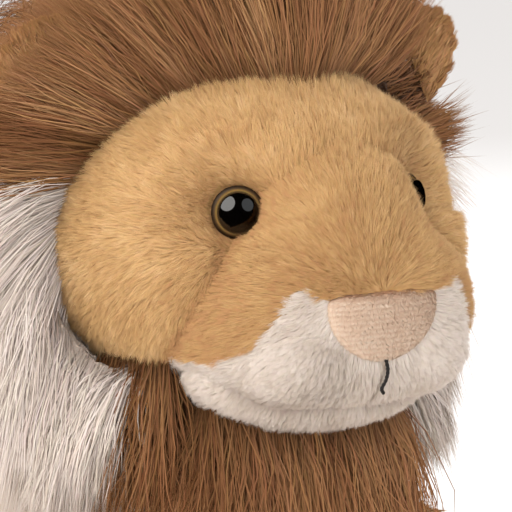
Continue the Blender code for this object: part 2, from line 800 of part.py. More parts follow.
def build_nape():
    """The back of the mane, behind the ring."""
    front = from_head(0, NAPE_FRONT - MANE_SPLIT, NAPE_RISE)
    back = from_head(0, -MANE_SPLIT - NAPE_DEPTH, NAPE_RISE)
    spine = [front, front.lerp(back, 0.5), back]
    widths = [NAPE_HALF_WIDTH] * len(spine)
    heights = [NAPE_HALF_HEIGHT] * len(spine)
    item = swell(
        "mane_nape", spine, widths, heights, (NAPE_FRONT, NAPE_DEPTH), 0, NAPE_AROUND,
        NAPE_ROUNDNESS, cap_rings=NAPE_CAP_RINGS,
    )
    return trim(item, from_head(0, -MANE_SPLIT - GAP / 2, 0), Vector((0, -1, 0)))


# Legs and tail
def build_foreleg(name, side):
    spine = []
    heights = [FORELEG_HALF_HEIGHT * share for share in FORELEG_HEIGHT_SHARES]
    for index, height in enumerate(heights):
        across = side * FORELEG_SPREAD * FORELEG_SPREAD_SHARES[index]
        back = -FORELEG_REAR - FORELEG_LENGTH * index / (len(heights) - 1)
        middle = resting_height(height, LIMB_AROUND, LIMB_ROUNDNESS)
        spine.append(Vector((across, back, middle)))
    widths = [FORELEG_HALF_WIDTH * share for share in FORELEG_WIDTH_SHARES]
    item = swell(
        name, spine, widths, heights, FORELEG_CAPS, FORELEG_RINGS, LIMB_AROUND, LIMB_ROUNDNESS
    )
    return rest_flat(item)


def build_haunch(name, side):
    middle = resting_height(HAUNCH_HALF_HEIGHT, LIMB_AROUND, LIMB_ROUNDNESS)
    back = Vector((side * HAUNCH_SPREAD, HAUNCH_REAR, middle))
    front = Vector((side * HAUNCH_SPREAD, HAUNCH_REAR - HAUNCH_LENGTH, middle))
    spine = [back, back.lerp(front, 0.5), front]
    widths = [HAUNCH_HALF_WIDTH] * len(spine)
    heights = [HAUNCH_HALF_HEIGHT] * len(spine)
    caps = (HAUNCH_LENGTH / 2, HAUNCH_LENGTH / 2)
    item = swell(
        name, spine, widths, heights, caps, 0, LIMB_AROUND, LIMB_ROUNDNESS, cap_rings=HAUNCH_CAP_RINGS
    )
    cutter = grown(item, GAP)
    return rest_flat(item), cutter


def build_hind_foot(name, side):
    spine = []
    heights = [HIND_FOOT_HALF_HEIGHT * share for share in HIND_FOOT_HEIGHT_SHARES]
    for index, height in enumerate(heights):
        back = HIND_FOOT_REAR - HIND_FOOT_LENGTH * index / (len(heights) - 1)
        middle = resting_height(height, LIMB_AROUND, LIMB_ROUNDNESS)
        spine.append(Vector((side * HIND_FOOT_SPREAD, back, middle)))
    widths = [HIND_FOOT_HALF_WIDTH * share for share in HIND_FOOT_WIDTH_SHARES]
    item = swell(
        name, spine, widths, heights, HIND_FOOT_CAPS, HIND_FOOT_RINGS, LIMB_AROUND, LIMB_ROUNDNESS
    )
    return rest_flat(item)


def on_tail(length):
    """A place on the ground under the tail's middle line, at a length from its hinge."""
    root = tail_root()
    if length < TAIL_STRAIGHT:
        return Vector((0, root.y + length, 0))
    angle = math.pi - (length - TAIL_STRAIGHT) / TAIL_BEND_RADIUS
    across = TAIL_BEND_RADIUS * (1 + math.cos(angle))
    return Vector((across, root.y + TAIL_STRAIGHT + TAIL_BEND_RADIUS * math.sin(angle), 0))


def build_tail():
    ground = resting_height(TAIL_RADIUS, TAIL_AROUND)
    spine = []
    for index in range(TAIL_POINTS + 1):
        length = -TAIL_RADIUS + (TAIL_LENGTH + TAIL_RADIUS) * index / TAIL_POINTS
        fallen = min(max((length - TAIL_RADIUS) / TAIL_FALL_LENGTH, 0.0), 1.0)
        eased = fallen * fallen * (3 - 2 * fallen)
        height = TAIL_ROOT_HEIGHT + (ground - TAIL_ROOT_HEIGHT) * eased
        spine.append(on_tail(length) + Vector((0, 0, height)))
    radii = [TAIL_RADIUS] * len(spine)
    item = swell("tail", spine, radii, radii, (TAIL_RADIUS, TAIL_RADIUS), TAIL_RINGS, TAIL_AROUND)
    cutter = grown(item, GAP)
    return rest_flat(item), cutter


def build_tuft():
    spine = []
    for index, share in enumerate(TUFT_WIDTH_SHARES):
        length = TAIL_LENGTH - TUFT_OVERLAP + TUFT_LENGTH * index / (len(TUFT_WIDTH_SHARES) - 1)
        middle = resting_height(TUFT_RADIUS * share, TAIL_AROUND)
        spine.append(on_tail(length) + Vector((0, 0, middle)))
    radii = [TUFT_RADIUS * share for share in TUFT_WIDTH_SHARES]
    item = swell("tail_tuft", spine, radii, radii, TUFT_CAPS, TUFT_RINGS, TAIL_AROUND)
    return rest_flat(item)


def build_tail_socket():
    """The dish in the rump that the round root of the tail turns in."""
    bpy.ops.mesh.primitive_uv_sphere_add(
        segments=SOCKET_AROUND, ring_count=SOCKET_RINGS, radius=TAIL_RADIUS + TAIL_SOCKET_GAP
    )
    socket = bpy.context.object
    socket.name = "tail_socket"
    socket.location = tail_root()
    return hide(socket)


def hinge_empty(name, place):
    """An empty on a joint axis, which carries the pieces that move about it."""
    empty = bpy.data.objects.new(name, None)
    empty.location = place
    bpy.context.scene.collection.objects.link(empty)
    return empty


def carry(empty, items):
    """Hang pieces on an empty without moving them."""
    for item in items:
        item.parent = empty
        item.matrix_parent_inverse = Matrix.Translation(-empty.location)


clear_scene()
gold = make_material("gold_pile", GOLD, PILE_ROUGHNESS)
brown = make_material("brown_pile", BROWN, PILE_ROUGHNESS)
white = make_material("white_pile", WHITE, PILE_ROUGHNESS)
velour = make_material("nose_velour", NOSE_PINK, VELOUR_ROUGHNESS)
thread = make_material("dark_thread", THREAD, VELOUR_ROUGHNESS)
eye_plastic = make_material("eye_plastic", AMBER, PLASTIC_ROUGHNESS)
washer_plastic = make_material("washer_plastic", WASHER_WHITE, WASHER_ROUGHNESS)

# Body
body, body_cutter = build_body()
neck, neck_cutter = build_neck()
chest_sweep = build_chest_sweep()
cut(body, build_tail_socket())
cut(neck, body_cutter)
dress(body, gold)
dress(neck, gold)

# Face
head = build_head()
head_cutter = grown(head, GAP)
cut(head, neck_cutter)
dress(head, gold)

muzzle = build_muzzle()
muzzle_cutter = grown(muzzle, GAP)
cut(muzzle, head_cutter)
dress(muzzle, gold)

face_pieces = [head, muzzle]
pad_cutters = []
for side, word in ((1, "left"), (-1, "right")):
    pad, pad_cutter = build_pad(f"muzzle_pad_{word}", side)
    pad_cutters.append(pad_cutter)
    cut(pad, head_cutter, muzzle_cutter)
    face_pieces.append(dress(pad, white))
pads_cutter = join(*pad_cutters)

chin = build_chin()
chin_cutter = grown(chin, GAP)
cut(chin, head_cutter, muzzle_cutter, pads_cutter)
face_pieces.append(dress(chin, white))

nose = build_nose()
cut(nose, pads_cutter, muzzle_cutter)
face_pieces.append(dress(nose, velour))

stitch = build_stitch()
cut(stitch, muzzle_cutter)
face_pieces.append(dress(stitch, thread))

for side, word in ((1, "left"), (-1, "right")):
    pocket = build_eye_pocket(side)
    cut(head, pocket)
    cut(muzzle, pocket)
    face_pieces.append(dress(build_eye(f"eye_{word}", side), eye_plastic))
    face_pieces.append(dress(build_washer(f"eye_washer_{word}", side), washer_plastic))

# Mane
panels = []
panel_cutters = []
for name, start, end, material in (
    ("mane_crown", -CROWN_END, CROWN_END, brown),
    ("mane_left", CROWN_END, RUFF_START, brown),
    ("mane_right", -RUFF_START, -CROWN_END, brown),
    ("ruff_left", RUFF_START, RUFF_END, white),
    ("ruff_right", -RUFF_END, -RUFF_START, white),
    ("mane_chest", RUFF_END, math.tau - RUFF_END, brown),
):
    panel = build_mane_arc(name, start, end)
    panel_cutters.append(grown(panel, GAP))
    cut(panel, head_cutter, muzzle_cutter, pads_cutter, chin_cutter)
    cut(panel, neck_cutter, chest_sweep)
    panels.append(dress(panel, material))

nape = build_nape()
nape_cutter = grown(nape, GAP)
cut(nape, head_cutter, neck_cutter, chest_sweep)
panels.append(dress(nape, brown))

for side, word in ((1, "left"), (-1, "right")):
    ear = build_ear(f"ear_{word}", side)
    cut(ear, head_cutter, nape_cutter, *panel_cutters[:3])
    face_pieces.append(dress(ear, gold))

# Legs
for side, word in ((1, "left"), (-1, "right")):
    foreleg = build_foreleg(f"foreleg_{word}", side)
    cut(foreleg, body_cutter)
    carry(hinge_empty(f"foreleg_{word}_axis", foreleg_axis(side)), [dress(foreleg, gold)])
    haunch, haunch_cutter = build_haunch(f"haunch_{word}", side)
    cut(haunch, body_cutter)
    dress(haunch, gold)
    hind_foot = build_hind_foot(f"hind_foot_{word}", side)
    cut(hind_foot, body_cutter, haunch_cutter)
    dress(hind_foot, gold)

# Tail
tail, tail_cutter = build_tail()
tuft = build_tuft()
cut(tuft, tail_cutter)
carry(hinge_empty("tail_axis", tail_root()), [dress(tail, gold), dress(tuft, brown)])
carry(hinge_empty("head_axis", Vector((0, -NECK_FORWARD, 0))), face_pieces + panels)
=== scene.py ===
# %% [markdown]
# # A plush lion, dressed over its solids
# The solids give every stuffed part of the toy its place. This lesson gives them what the eye
# sees: skins filled with fibre, short golden pile, long mane hair, a velour nose and glossy
# eyes. Lengths are in metres, the lion faces -Y and its left side is +X.

# %% Load the frame
import math

import bpy
import numpy as np
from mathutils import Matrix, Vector
from mathutils.bvhtree import BVHTree
from mathutils.kdtree import KDTree


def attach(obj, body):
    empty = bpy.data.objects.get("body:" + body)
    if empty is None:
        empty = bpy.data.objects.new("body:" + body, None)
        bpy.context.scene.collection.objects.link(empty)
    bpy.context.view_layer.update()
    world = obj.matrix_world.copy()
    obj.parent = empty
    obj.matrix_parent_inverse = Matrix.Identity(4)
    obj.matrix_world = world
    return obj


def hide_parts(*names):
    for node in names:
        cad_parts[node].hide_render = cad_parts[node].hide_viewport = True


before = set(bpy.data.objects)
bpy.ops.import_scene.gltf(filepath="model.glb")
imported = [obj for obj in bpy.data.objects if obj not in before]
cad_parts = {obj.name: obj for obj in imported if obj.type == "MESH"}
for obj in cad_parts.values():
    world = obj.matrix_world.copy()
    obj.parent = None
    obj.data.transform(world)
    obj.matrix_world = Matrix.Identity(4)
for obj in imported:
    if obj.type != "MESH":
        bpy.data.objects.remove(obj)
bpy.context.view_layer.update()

# %% [markdown]
# ## Places on the face
# A toy maker marks a face from the line through the eyes. The helper below does the same: it
# takes millimetres across, forward of the middle of the head, and above the eyes.

# %% Face places
MM = 0.001
HEAD_MIDDLE = Vector((0.0, -0.095, 0.180))


def on_face(across, forward, rise):
    """A place from millimetres across, forward and up, measured from between the eyes."""
    return HEAD_MIDDLE + Vector((across, -forward, rise)) * MM


def face_measures(points):
    """The millimetres across, forward and up of many places."""
    away = (points - np.array(HEAD_MIDDLE)) / MM
    return away[:, 0], -away[:, 1], away[:, 2]


# %% [markdown]
# ## Camera, floor and light
# The picture is a close view of the face from its right and a little above. A long lens keeps
# the muzzle from growing, as in a portrait.

# %% Camera
CAMERA_TURN = math.radians(-35)
CAMERA_RISE = math.radians(7)
CAMERA_DISTANCE = 1.0
FRAME_WIDTH = 0.154
SENSOR = 36.0
AIM = on_face(-29.4, 40.0, -13.0)

bpy.ops.object.camera_add()
camera = bpy.context.object
camera.name = "portrait_camera"
toward_camera = Vector((
    math.sin(CAMERA_TURN) * math.cos(CAMERA_RISE),
    -math.cos(CAMERA_TURN) * math.cos(CAMERA_RISE),
    math.sin(CAMERA_RISE),
))
camera.location = AIM + toward_camera * CAMERA_DISTANCE
camera.rotation_euler = (-toward_camera).to_track_quat("-Z", "Y").to_euler()
camera.data.sensor_width = SENSOR
camera.data.lens = SENSOR * CAMERA_DISTANCE / FRAME_WIDTH
camera.data.clip_start = 0.05
camera.data.clip_end = 60.0
bpy.context.scene.camera = camera
print("lens", round(camera.data.lens), "mm")

# %% Light
def lamp(name, place, size, power, colour):
    """A round soft lamp that points at the face."""
    bpy.ops.object.light_add(type="AREA", location=place)
    item = bpy.context.object
    item.name = name
    item.data.shape = "DISK"
    item.data.size = size
    item.data.energy = power
    item.data.color = colour
    item.rotation_euler = (AIM - Vector(place)).to_track_quat("-Z", "Y").to_euler()
    item.visible_camera = False


WARM_WHITE = (1.0, 0.97, 0.93)
COOL_WHITE = (0.94, 0.97, 1.0)
lamp("window_left", (-1.54, -0.77, 1.07), 1.8, 28.0, WARM_WHITE)
lamp("window_right", (0.30, -1.95, 0.92), 1.5, 4.5, COOL_WHITE)
lamp("lamp_behind", (0.6, 1.2, 1.2), 1.2, 12.0, COOL_WHITE)

world = bpy.data.worlds.new("pale_room")
world.use_nodes = True
world.node_tree.nodes["Background"].inputs["Color"].default_value = (0.82, 0.80, 0.79, 1.0)
world.node_tree.nodes["Background"].inputs["Strength"].default_value = 1.18
world.cycles_visibility.glossy = False
bpy.context.scene.world = world
bpy.context.scene.view_settings.view_transform = "Standard"

# %% Floor
FLOOR_SIDE = 30.0
bpy.ops.mesh.primitive_plane_add(size=FLOOR_SIDE, location=(0.0, 0.0, 0.0))
floor = bpy.context.object
floor.name = "floor"
floor.visible_glossy = False
paper = bpy.data.materials.new("floor_paper")
paper.use_nodes = True
paper_shader = paper.node_tree.nodes["Principled BSDF"]
paper_shader.inputs["Base Color"].default_value = (0.92, 0.91, 0.90, 1.0)
paper_shader.inputs["Roughness"].default_value = 0.9
floor.data.materials.append(paper)

# %% [markdown]
# ## Tools for shaping
# Each stuffed form starts as a ball primitive, whose points are then moved to the places that a
# few sizes give, like clay that is pressed to a template.

# %% Shaping tools
def deselect():
    for item in list(bpy.context.selected_objects):
        item.select_set(False)


def only(item):
    """Select one object alone and make it active."""
    deselect()
    item.select_set(True)
    bpy.context.view_layer.objects.active = item
    return item


def read_points(item):
    points = np.empty(len(item.data.vertices) * 3)
    item.data.vertices.foreach_get("co", points)
    return points.reshape(-1, 3)


def skin_arrays(item):
    """Points, normals and triangles of a mesh as arrays."""
    mesh = item.data
    mesh.calc_loop_triangles()
    normals = np.empty(len(mesh.vertices) * 3)
    mesh.vertices.foreach_get("normal", normals)
    triangles = np.empty(len(mesh.loop_triangles) * 3, dtype=np.int64)
    mesh.loop_triangles.foreach_get("vertices", triangles)
    return read_points(item), normals.reshape(-1, 3), triangles.reshape(-1, 3)


def write_points(item, points):
    item.data.vertices.foreach_set("co", np.ascontiguousarray(points).ravel())
    item.data.update()
    return item


def ball(name, segments, rings):
    """A unit ball from its primitive, to be shaped."""
    deselect()
    bpy.ops.mesh.primitive_uv_sphere_add(segments=segments, ring_count=rings, radius=1.0)
    item = bpy.context.object
    item.name = name
    item.data.name = name
    item.data.shade_smooth()
    return item


def signed_power(value, power):
    return np.sign(value) * np.abs(value) ** power


def full_ball(name, middle, half_width, depths, heights, fullness, segments=64, rings=48):
    """A ball from its half width, front and back, top and bottom, in millimetres.

    Fullness over 2 fills the corners. It has one value for the upper half and one for the lower.
    """
    item = ball(name, segments, rings)
    unit = read_points(item)
    power = np.where(unit[:, 2] > 0, fullness[0], fullness[1])
    reach = (np.abs(unit) ** power[:, None]).sum(1) ** (-1.0 / power)
    unit = unit * reach[:, None]
    depth = np.where(unit[:, 1] < 0, depths[0], depths[1])
    height = np.where(unit[:, 2] > 0, heights[0], heights[1])
    size = np.stack([np.full(len(unit), half_width), depth, height], 1)
    return write_points(item, np.array(middle) + unit * size * MM)


def apply_modifier(item, kind, **settings):
    """Add a modifier, set it and apply it."""
    only(item)
    modifier = item.modifiers.new(kind.title(), kind)
    for key, value in settings.items():
        setattr(modifier, key, value)
    bpy.ops.object.modifier_apply(modifier=modifier.name)
    return item


# %% [markdown]
# ## The head under its skin
# The head is a ball of fibre, drawn in where each eye is locked through it. The muzzle is a
# second stuffed form, narrow between the eyes and broad at the lips. It is shaped in levels,
# from between the brows down to the lip.

# %% Head skin
EYE_SPREAD = 32.5
EYE_FORWARD = 34.8
EYE_YAW = math.radians(28)
SOCKET_DEPTH = 14.6 * MM
SOCKET_REACH = 15.0 * MM


def eye_place(side):
    return on_face(side * EYE_SPREAD, EYE_FORWARD, 0.0)


def eye_facing(side):
    return Vector((side * math.sin(EYE_YAW), -math.cos(EYE_YAW), 0.0))


def from_axis(points, middle, axis):
    """Heights of points along an axis, and their distances from it."""
    away = points - np.array(middle)
    height = away @ np.array(axis)
    return height, np.linalg.norm(away - height[:, None] * np.array(axis), axis=1)


def press_sockets(item):
    """Draw the skin in round both eyes."""
    points = read_points(item)
    for side in (-1, 1):
        axis = np.array(eye_facing(side))
        height, away = from_axis(points, eye_place(side), axis)
        depth = SOCKET_DEPTH * np.exp(-((away / SOCKET_REACH) ** 2)) * (height > 0)
        points = points - axis * depth[:, None]
    return write_points(item, points)


head_skin = full_ball("head_skin", on_face(0, 0, -8), 60.0, (53.0, 55.0), (46.0, 48.0),
                      (2.2, 2.9), 96, 72)
press_sockets(head_skin)
print("head skin", len(head_skin.data.polygons), "faces")

# %% Muzzle skin
MUZZLE_MIDDLE_FORWARD = 28.0
MUZZLE_LEVELS = (20.0, 17.0, 11.0, 2.0, -8.0, -15.0, -23.0, -34.0, -44.0, -50.0, -55.0, -58.0, -60.0)
MUZZLE_HALF_WIDTHS = (0.0, 12.0, 21.0, 26.5, 32.0, 41.0, 47.0, 48.5, 46.0, 41.0, 33.0, 22.0, 0.0)
MUZZLE_FRONTS = (13.0, 19.5, 25.0, 30.5, 34.5, 37.0, 38.0, 38.0, 37.0, 35.0, 31.0, 25.0, 0.0)
FULLNESS_LEVELS = (-30.0, -8.0, 2.0, 11.0)
MUZZLE_FULLNESS = (2.5, 2.2, 2.4, 3.0)


def muzzle_section(rise):
    """Half width, front and fullness of the muzzle at some heights."""
    levels = MUZZLE_LEVELS[::-1]
    width = np.interp(rise, levels, MUZZLE_HALF_WIDTHS[::-1])
    front = np.interp(rise, levels, MUZZLE_FRONTS[::-1])
    return width, front, np.interp(rise, FULLNESS_LEVELS, MUZZLE_FULLNESS)


def muzzle_forward(across, rise):
    """How far forward the muzzle's skin lies at some places across and up."""
    width, front, fullness = muzzle_section(rise)
    share = np.clip(np.abs(across) / np.maximum(width, 0.1), 0, 0.98)
    return MUZZLE_MIDDLE_FORWARD + front * (1 - share**fullness) ** (1 / fullness)


def muzzle_places(unit):
    """Places of a unit ball's points on the muzzle, level by level."""
    top, bottom = MUZZLE_LEVELS[0], MUZZLE_LEVELS[-1]
    rise = (top + bottom) / 2 + (top - bottom) / 2 * unit[:, 2]
    width, front, fullness = muzzle_section(rise)
    turn = np.arctan2(unit[:, 0], -unit[:, 1])
    across = width * signed_power(np.sin(turn), 2 / fullness)
    forward = MUZZLE_MIDDLE_FORWARD + front * signed_power(np.cos(turn), 2 / fullness)
    return np.array(HEAD_MIDDLE) + np.stack([across, -forward, rise], 1) * MM


muzzle_skin = ball("muzzle_skin", 96, 64)
write_points(muzzle_skin, muzzle_places(read_points(muzzle_skin)))
apply_modifier(muzzle_skin, "SMOOTH", factor=0.5, iterations=6)

# %% Fold beside the muzzle
FOLD_DEPTH = 3.2
FOLD_REACH = 3.5
FOLD_LEVELS = (-5.0, 8.0)
FOLD_SHARES = (1.0, 0.0)


def gaps_to(item, places):
    """The distance in millimetres from each place to a skin."""
    points, _, triangles = skin_arrays(item)
    tree = BVHTree.FromPolygons(points.tolist(), triangles.tolist())
    return np.array([tree.find_nearest(place.tolist())[3] for place in places]) / MM


def press_fold(item, beside):
    """Draw a skin in where it meets another below the eyes, as the seam thread does."""
    points, normals, _ = skin_arrays(item)
    soft = np.interp(face_measures(points)[2], FOLD_LEVELS, FOLD_SHARES)
    depth = FOLD_DEPTH * soft * np.exp(-((gaps_to(beside, points) / FOLD_REACH) ** 2))
    write_points(item, points - normals * (depth * MM)[:, None])


press_fold(head_skin, muzzle_skin)

# %% Lip pads and chin
pad_skins = {}
for side, word in ((1, "left"), (-1, "right")):
    pad_skins[word] = full_ball(f"lip_pad_skin_{word}", on_face(side * 19.0, 46.0, -42.0), 20.0,
                                (19.0, 16.0), (15.0, 15.0), (2.3, 2.3), 48, 36)
chin_skin = full_ball("chin_skin", on_face(0, 28, -47.0), 43.0, (27.0, 26.0), (21.5, 21.5),
                      (2.2, 2.2), 64, 40)
for pad in pad_skins.values():
    press_fold(chin_skin, pad)

# %% [markdown]
# ## Strands
# Fur is thousands of strands. Each one here is a thin ribbon that leaves the skin at its root,
# leans over and narrows to a tip. Neighbours draw together into small locks, because pile
# clings. A strand's colour comes from two numbers that it carries as a map: its tone, and how
# far along it a point lies.

# %% Roots on a skin
def unit_rows(vectors):
    return vectors / np.maximum(np.linalg.norm(vectors, axis=-1, keepdims=True), 1e-12)


def scatter(item, count, rng, open_points=None):
    """Random places spread evenly over a skin or its open part, with the skin's normals there."""
    points, normals, triangles = skin_arrays(item)
    if open_points is not None:
        triangles = triangles[open_points[triangles].any(1)]
    corners = points[triangles]
    across, along = corners[:, 1] - corners[:, 0], corners[:, 2] - corners[:, 0]
    areas = np.linalg.norm(np.cross(across, along), axis=1)
    chosen = rng.choice(len(triangles), size=count, p=areas / areas.sum())
    first = np.sqrt(rng.random(count))
    second = rng.random(count)
    shares = np.stack([1 - first, first * (1 - second), first * second], 1)
    places = np.einsum("nk,nkj->nj", shares, corners[chosen])
    facing = np.einsum("nk,nkj->nj", shares, normals[triangles[chosen]])
    return places, unit_rows(facing)


def scatter_where(item, count, rng, keep, open_points=None, rounds=40):
    """Scatter over a skin until enough roots lie where keep is true."""
    found_places, found_normals, found = [], [], 0
    for _ in range(rounds):
        places, normals = scatter(item, 50000, rng, open_points)
        wanted = keep(places)
        found_places.append(places[wanted])
        found_normals.append(normals[wanted])
        found += wanted.sum()
        if found >= count:
            break
    return np.concatenate(found_places)[:count], np.concatenate(found_normals)[:count]


def outside(places, others, margin=0.0):
    """Which places lie outside all the other skins, by at least a margin."""
    free = np.ones(len(places), dtype=bool)
    for other in others:
        points, _, triangles = skin_arrays(other)
        tree = BVHTree.FromPolygons(points.tolist(), triangles.tolist())
        low, high = points.min(0) - margin, points.max(0) + margin
        near = np.flatnonzero(free & ((places > low) & (places < high)).all(1))
        for index in near:
            spot, normal, _, distance = tree.find_nearest(places[index].tolist())
            way = (places[index, 0] - spot[0]) * normal[0]
            way += (places[index, 1] - spot[1]) * normal[1] + (places[index, 2] - spot[2]) * normal[2]
            if way < 0 or distance < margin:
                free[index] = way >= 0 and distance >= margin
    return free


def mottle(places, size, rng, waves=14):
    """Soft patches between about -1 and 1 over space, each about one size across."""
    ways = unit_rows(rng.normal(size=(waves, 3))) * (2 * math.pi / size)
    ways = ways * rng.uniform(0.6, 1.5, (waves, 1))
    starts = rng.uniform(0, 2 * math.pi, waves)
    return np.sin(places @ ways.T + starts).sum(1) / math.sqrt(waves / 2) * 0.6


# %% Growing strands
DOWN = np.array((0.0, 0.0, -1.0))
LOCK_POWER = 1.4


def comb(ways, normals):
    """Flow directions laid down along the skin."""
    flat = ways - normals * (ways * normals).sum(1, keepdims=True)
    return unit_rows(flat)


def lines_from(roots, start, end, length, levels):
    """Middle lines that leave their roots one way and turn evenly to another."""
    lines = np.empty((len(roots), levels + 1, 3))
    lines[:, 0] = roots
    for level in range(levels):
        share = (level + 0.5) / levels
        heading = unit_rows(start * (1 - share) + end * share)
        lines[:, level + 1] = lines[:, level] + heading * (length / levels)[:, None]
    return lines


def grow(roots, normals, flow, length, rng, lift, settle, levels, droop=0.0):
    """Middle lines of strands that rise from the skin and settle along the flow.

    Lift and settle are the shares of the normal in a strand's heading at its root and its tip.
    """
    count = len(roots)
    length = np.broadcast_to(length, (count,)) * rng.uniform(0.78, 1.12, count)
    stray = rng.normal(scale=0.12, size=(count, 3))
    start = unit_rows(normals * lift + flow * (1 - lift) + stray)
    end = unit_rows(normals * settle + flow * (1 - settle) + stray + DOWN * droop)
    return lines_from(roots, start, end, length, levels)


def gather(lines, spacing, pull, rng):
    """Draw strands together into locks whose middles are about one spacing apart."""
    roots = lines[:, 0]
    order = rng.permutation(len(roots))
    guides = []
    taken = set()
    for index in order:
        cell = tuple(np.floor(roots[index] / spacing).astype(int))
        if cell not in taken:
            taken.add(cell)
            guides.append(index)
    tree = KDTree(len(guides))
    for number, index in enumerate(guides):
        tree.insert(roots[index], number)
    tree.balance()
    near = np.array([guides[tree.find(root)[1]] for root in roots])
    strength = pull * rng.uniform(0.55, 1.0, len(roots))
    levels = lines.shape[1] - 1
    gathered = lines.copy()
    for level in range(1, levels + 1):
        share = strength * (level / levels) ** LOCK_POWER
        gathered[:, level] += (lines[near, level] - lines[:, level]) * share[:, None]
    return gathered, near


# %% Ribbons from strands
TONE_SPREAD = 0.004
MAP_EDGE = 0.02


def ribbons(name, lines, normals, width, tone, rng, roll=0.5, taper=2.0, skin_shading=2.0):
    """One mesh of ribbons along strands, with their tone and their length as a map."""
    count, rows, _ = lines.shape
    width = np.broadcast_to(width, (count,))
    tangents = np.gradient(lines, axis=1)
    facing = unit_rows(normals + rng.normal(scale=roll, size=normals.shape))
    sides = unit_rows(np.cross(tangents, facing[:, None, :]))
    shares = np.linspace(0, 1, rows)
    narrowing = 1 - shares[:-1] ** taper * 0.75
    offset = sides[:, :-1] * (width[:, None] * narrowing / 2)[..., None]
    pairs = np.stack([lines[:, :-1] - offset, lines[:, :-1] + offset], 2).reshape(count, -1, 3)
    points = np.concatenate([pairs, lines[:, -1:]], 1)
    per_strand = points.shape[1]

    quads = rows - 2
    pattern = []
    for row in range(quads):
        low = 2 * row
        pattern.extend((low, low + 1, low + 3, low + 2))
    pattern.extend((2 * quads, 2 * quads + 1, 2 * quads + 2))
    pattern = np.array(pattern)
    loops = (np.arange(count)[:, None] * per_strand + pattern).ravel()
    sizes = np.tile(np.array([4] * quads + [3]), count)
    starts = np.concatenate([[0], np.cumsum(sizes)[:-1]])

    mesh = bpy.data.meshes.new(name)
    mesh.vertices.add(count * per_strand)
    mesh.vertices.foreach_set("co", points.ravel())
    mesh.loops.add(len(loops))
    mesh.loops.foreach_set("vertex_index", loops.astype(np.int32))
    mesh.polygons.add(len(sizes))
    mesh.polygons.foreach_set("loop_start", starts.astype(np.int32))
    mesh.update(calc_edges=True)
    mesh.shade_smooth()
    soft = unit_rows(normals[:, None, :] * skin_shading + np.cross(sides, unit_rows(tangents)))
    mesh.normals_split_custom_set_from_vertices(
        np.concatenate([np.repeat(soft[:, :-1], 2, axis=1), soft[:, -1:]], 1).reshape(-1, 3))

    tone = np.clip(tone, 0, 1) * (1 - 2 * MAP_EDGE) + MAP_EDGE
    edge = np.tile(np.array((-TONE_SPREAD, TONE_SPREAD)), rows - 1)
    across = np.concatenate([edge, [0.0]])
    along = np.concatenate([np.repeat(shares[:-1], 2), [1.0]]) * (1 - 2 * MAP_EDGE) + MAP_EDGE
    place = np.stack([tone[:, None] + across, np.broadcast_to(along, (count, per_strand))], 2)
    values = place[:, pattern].reshape(-1, 2).astype(np.float32)
    for layer_name in ("Strand", "OFBake"):
        layer = mesh.uv_layers.new(name=layer_name, do_init=False)
        layer.uv.foreach_set("vector", values.ravel())
    item = bpy.data.objects.new(name, mesh)
    bpy.context.scene.collection.objects.link(item)
    print(name, count, "strands,", count * (2 * quads + 1), "triangles")
    return item


# %% [markdown]
# ## Pile colours
# One node group works out a strand's colour from its map: dark, middle and light fibres are
# mixed by tone, and the root stays darker because light hardly reaches it. Every pile of the
# lion uses the group with its own four colours.

# %% Pile colour group
def link(tree, start, end):
    tree.links.new(start, end)


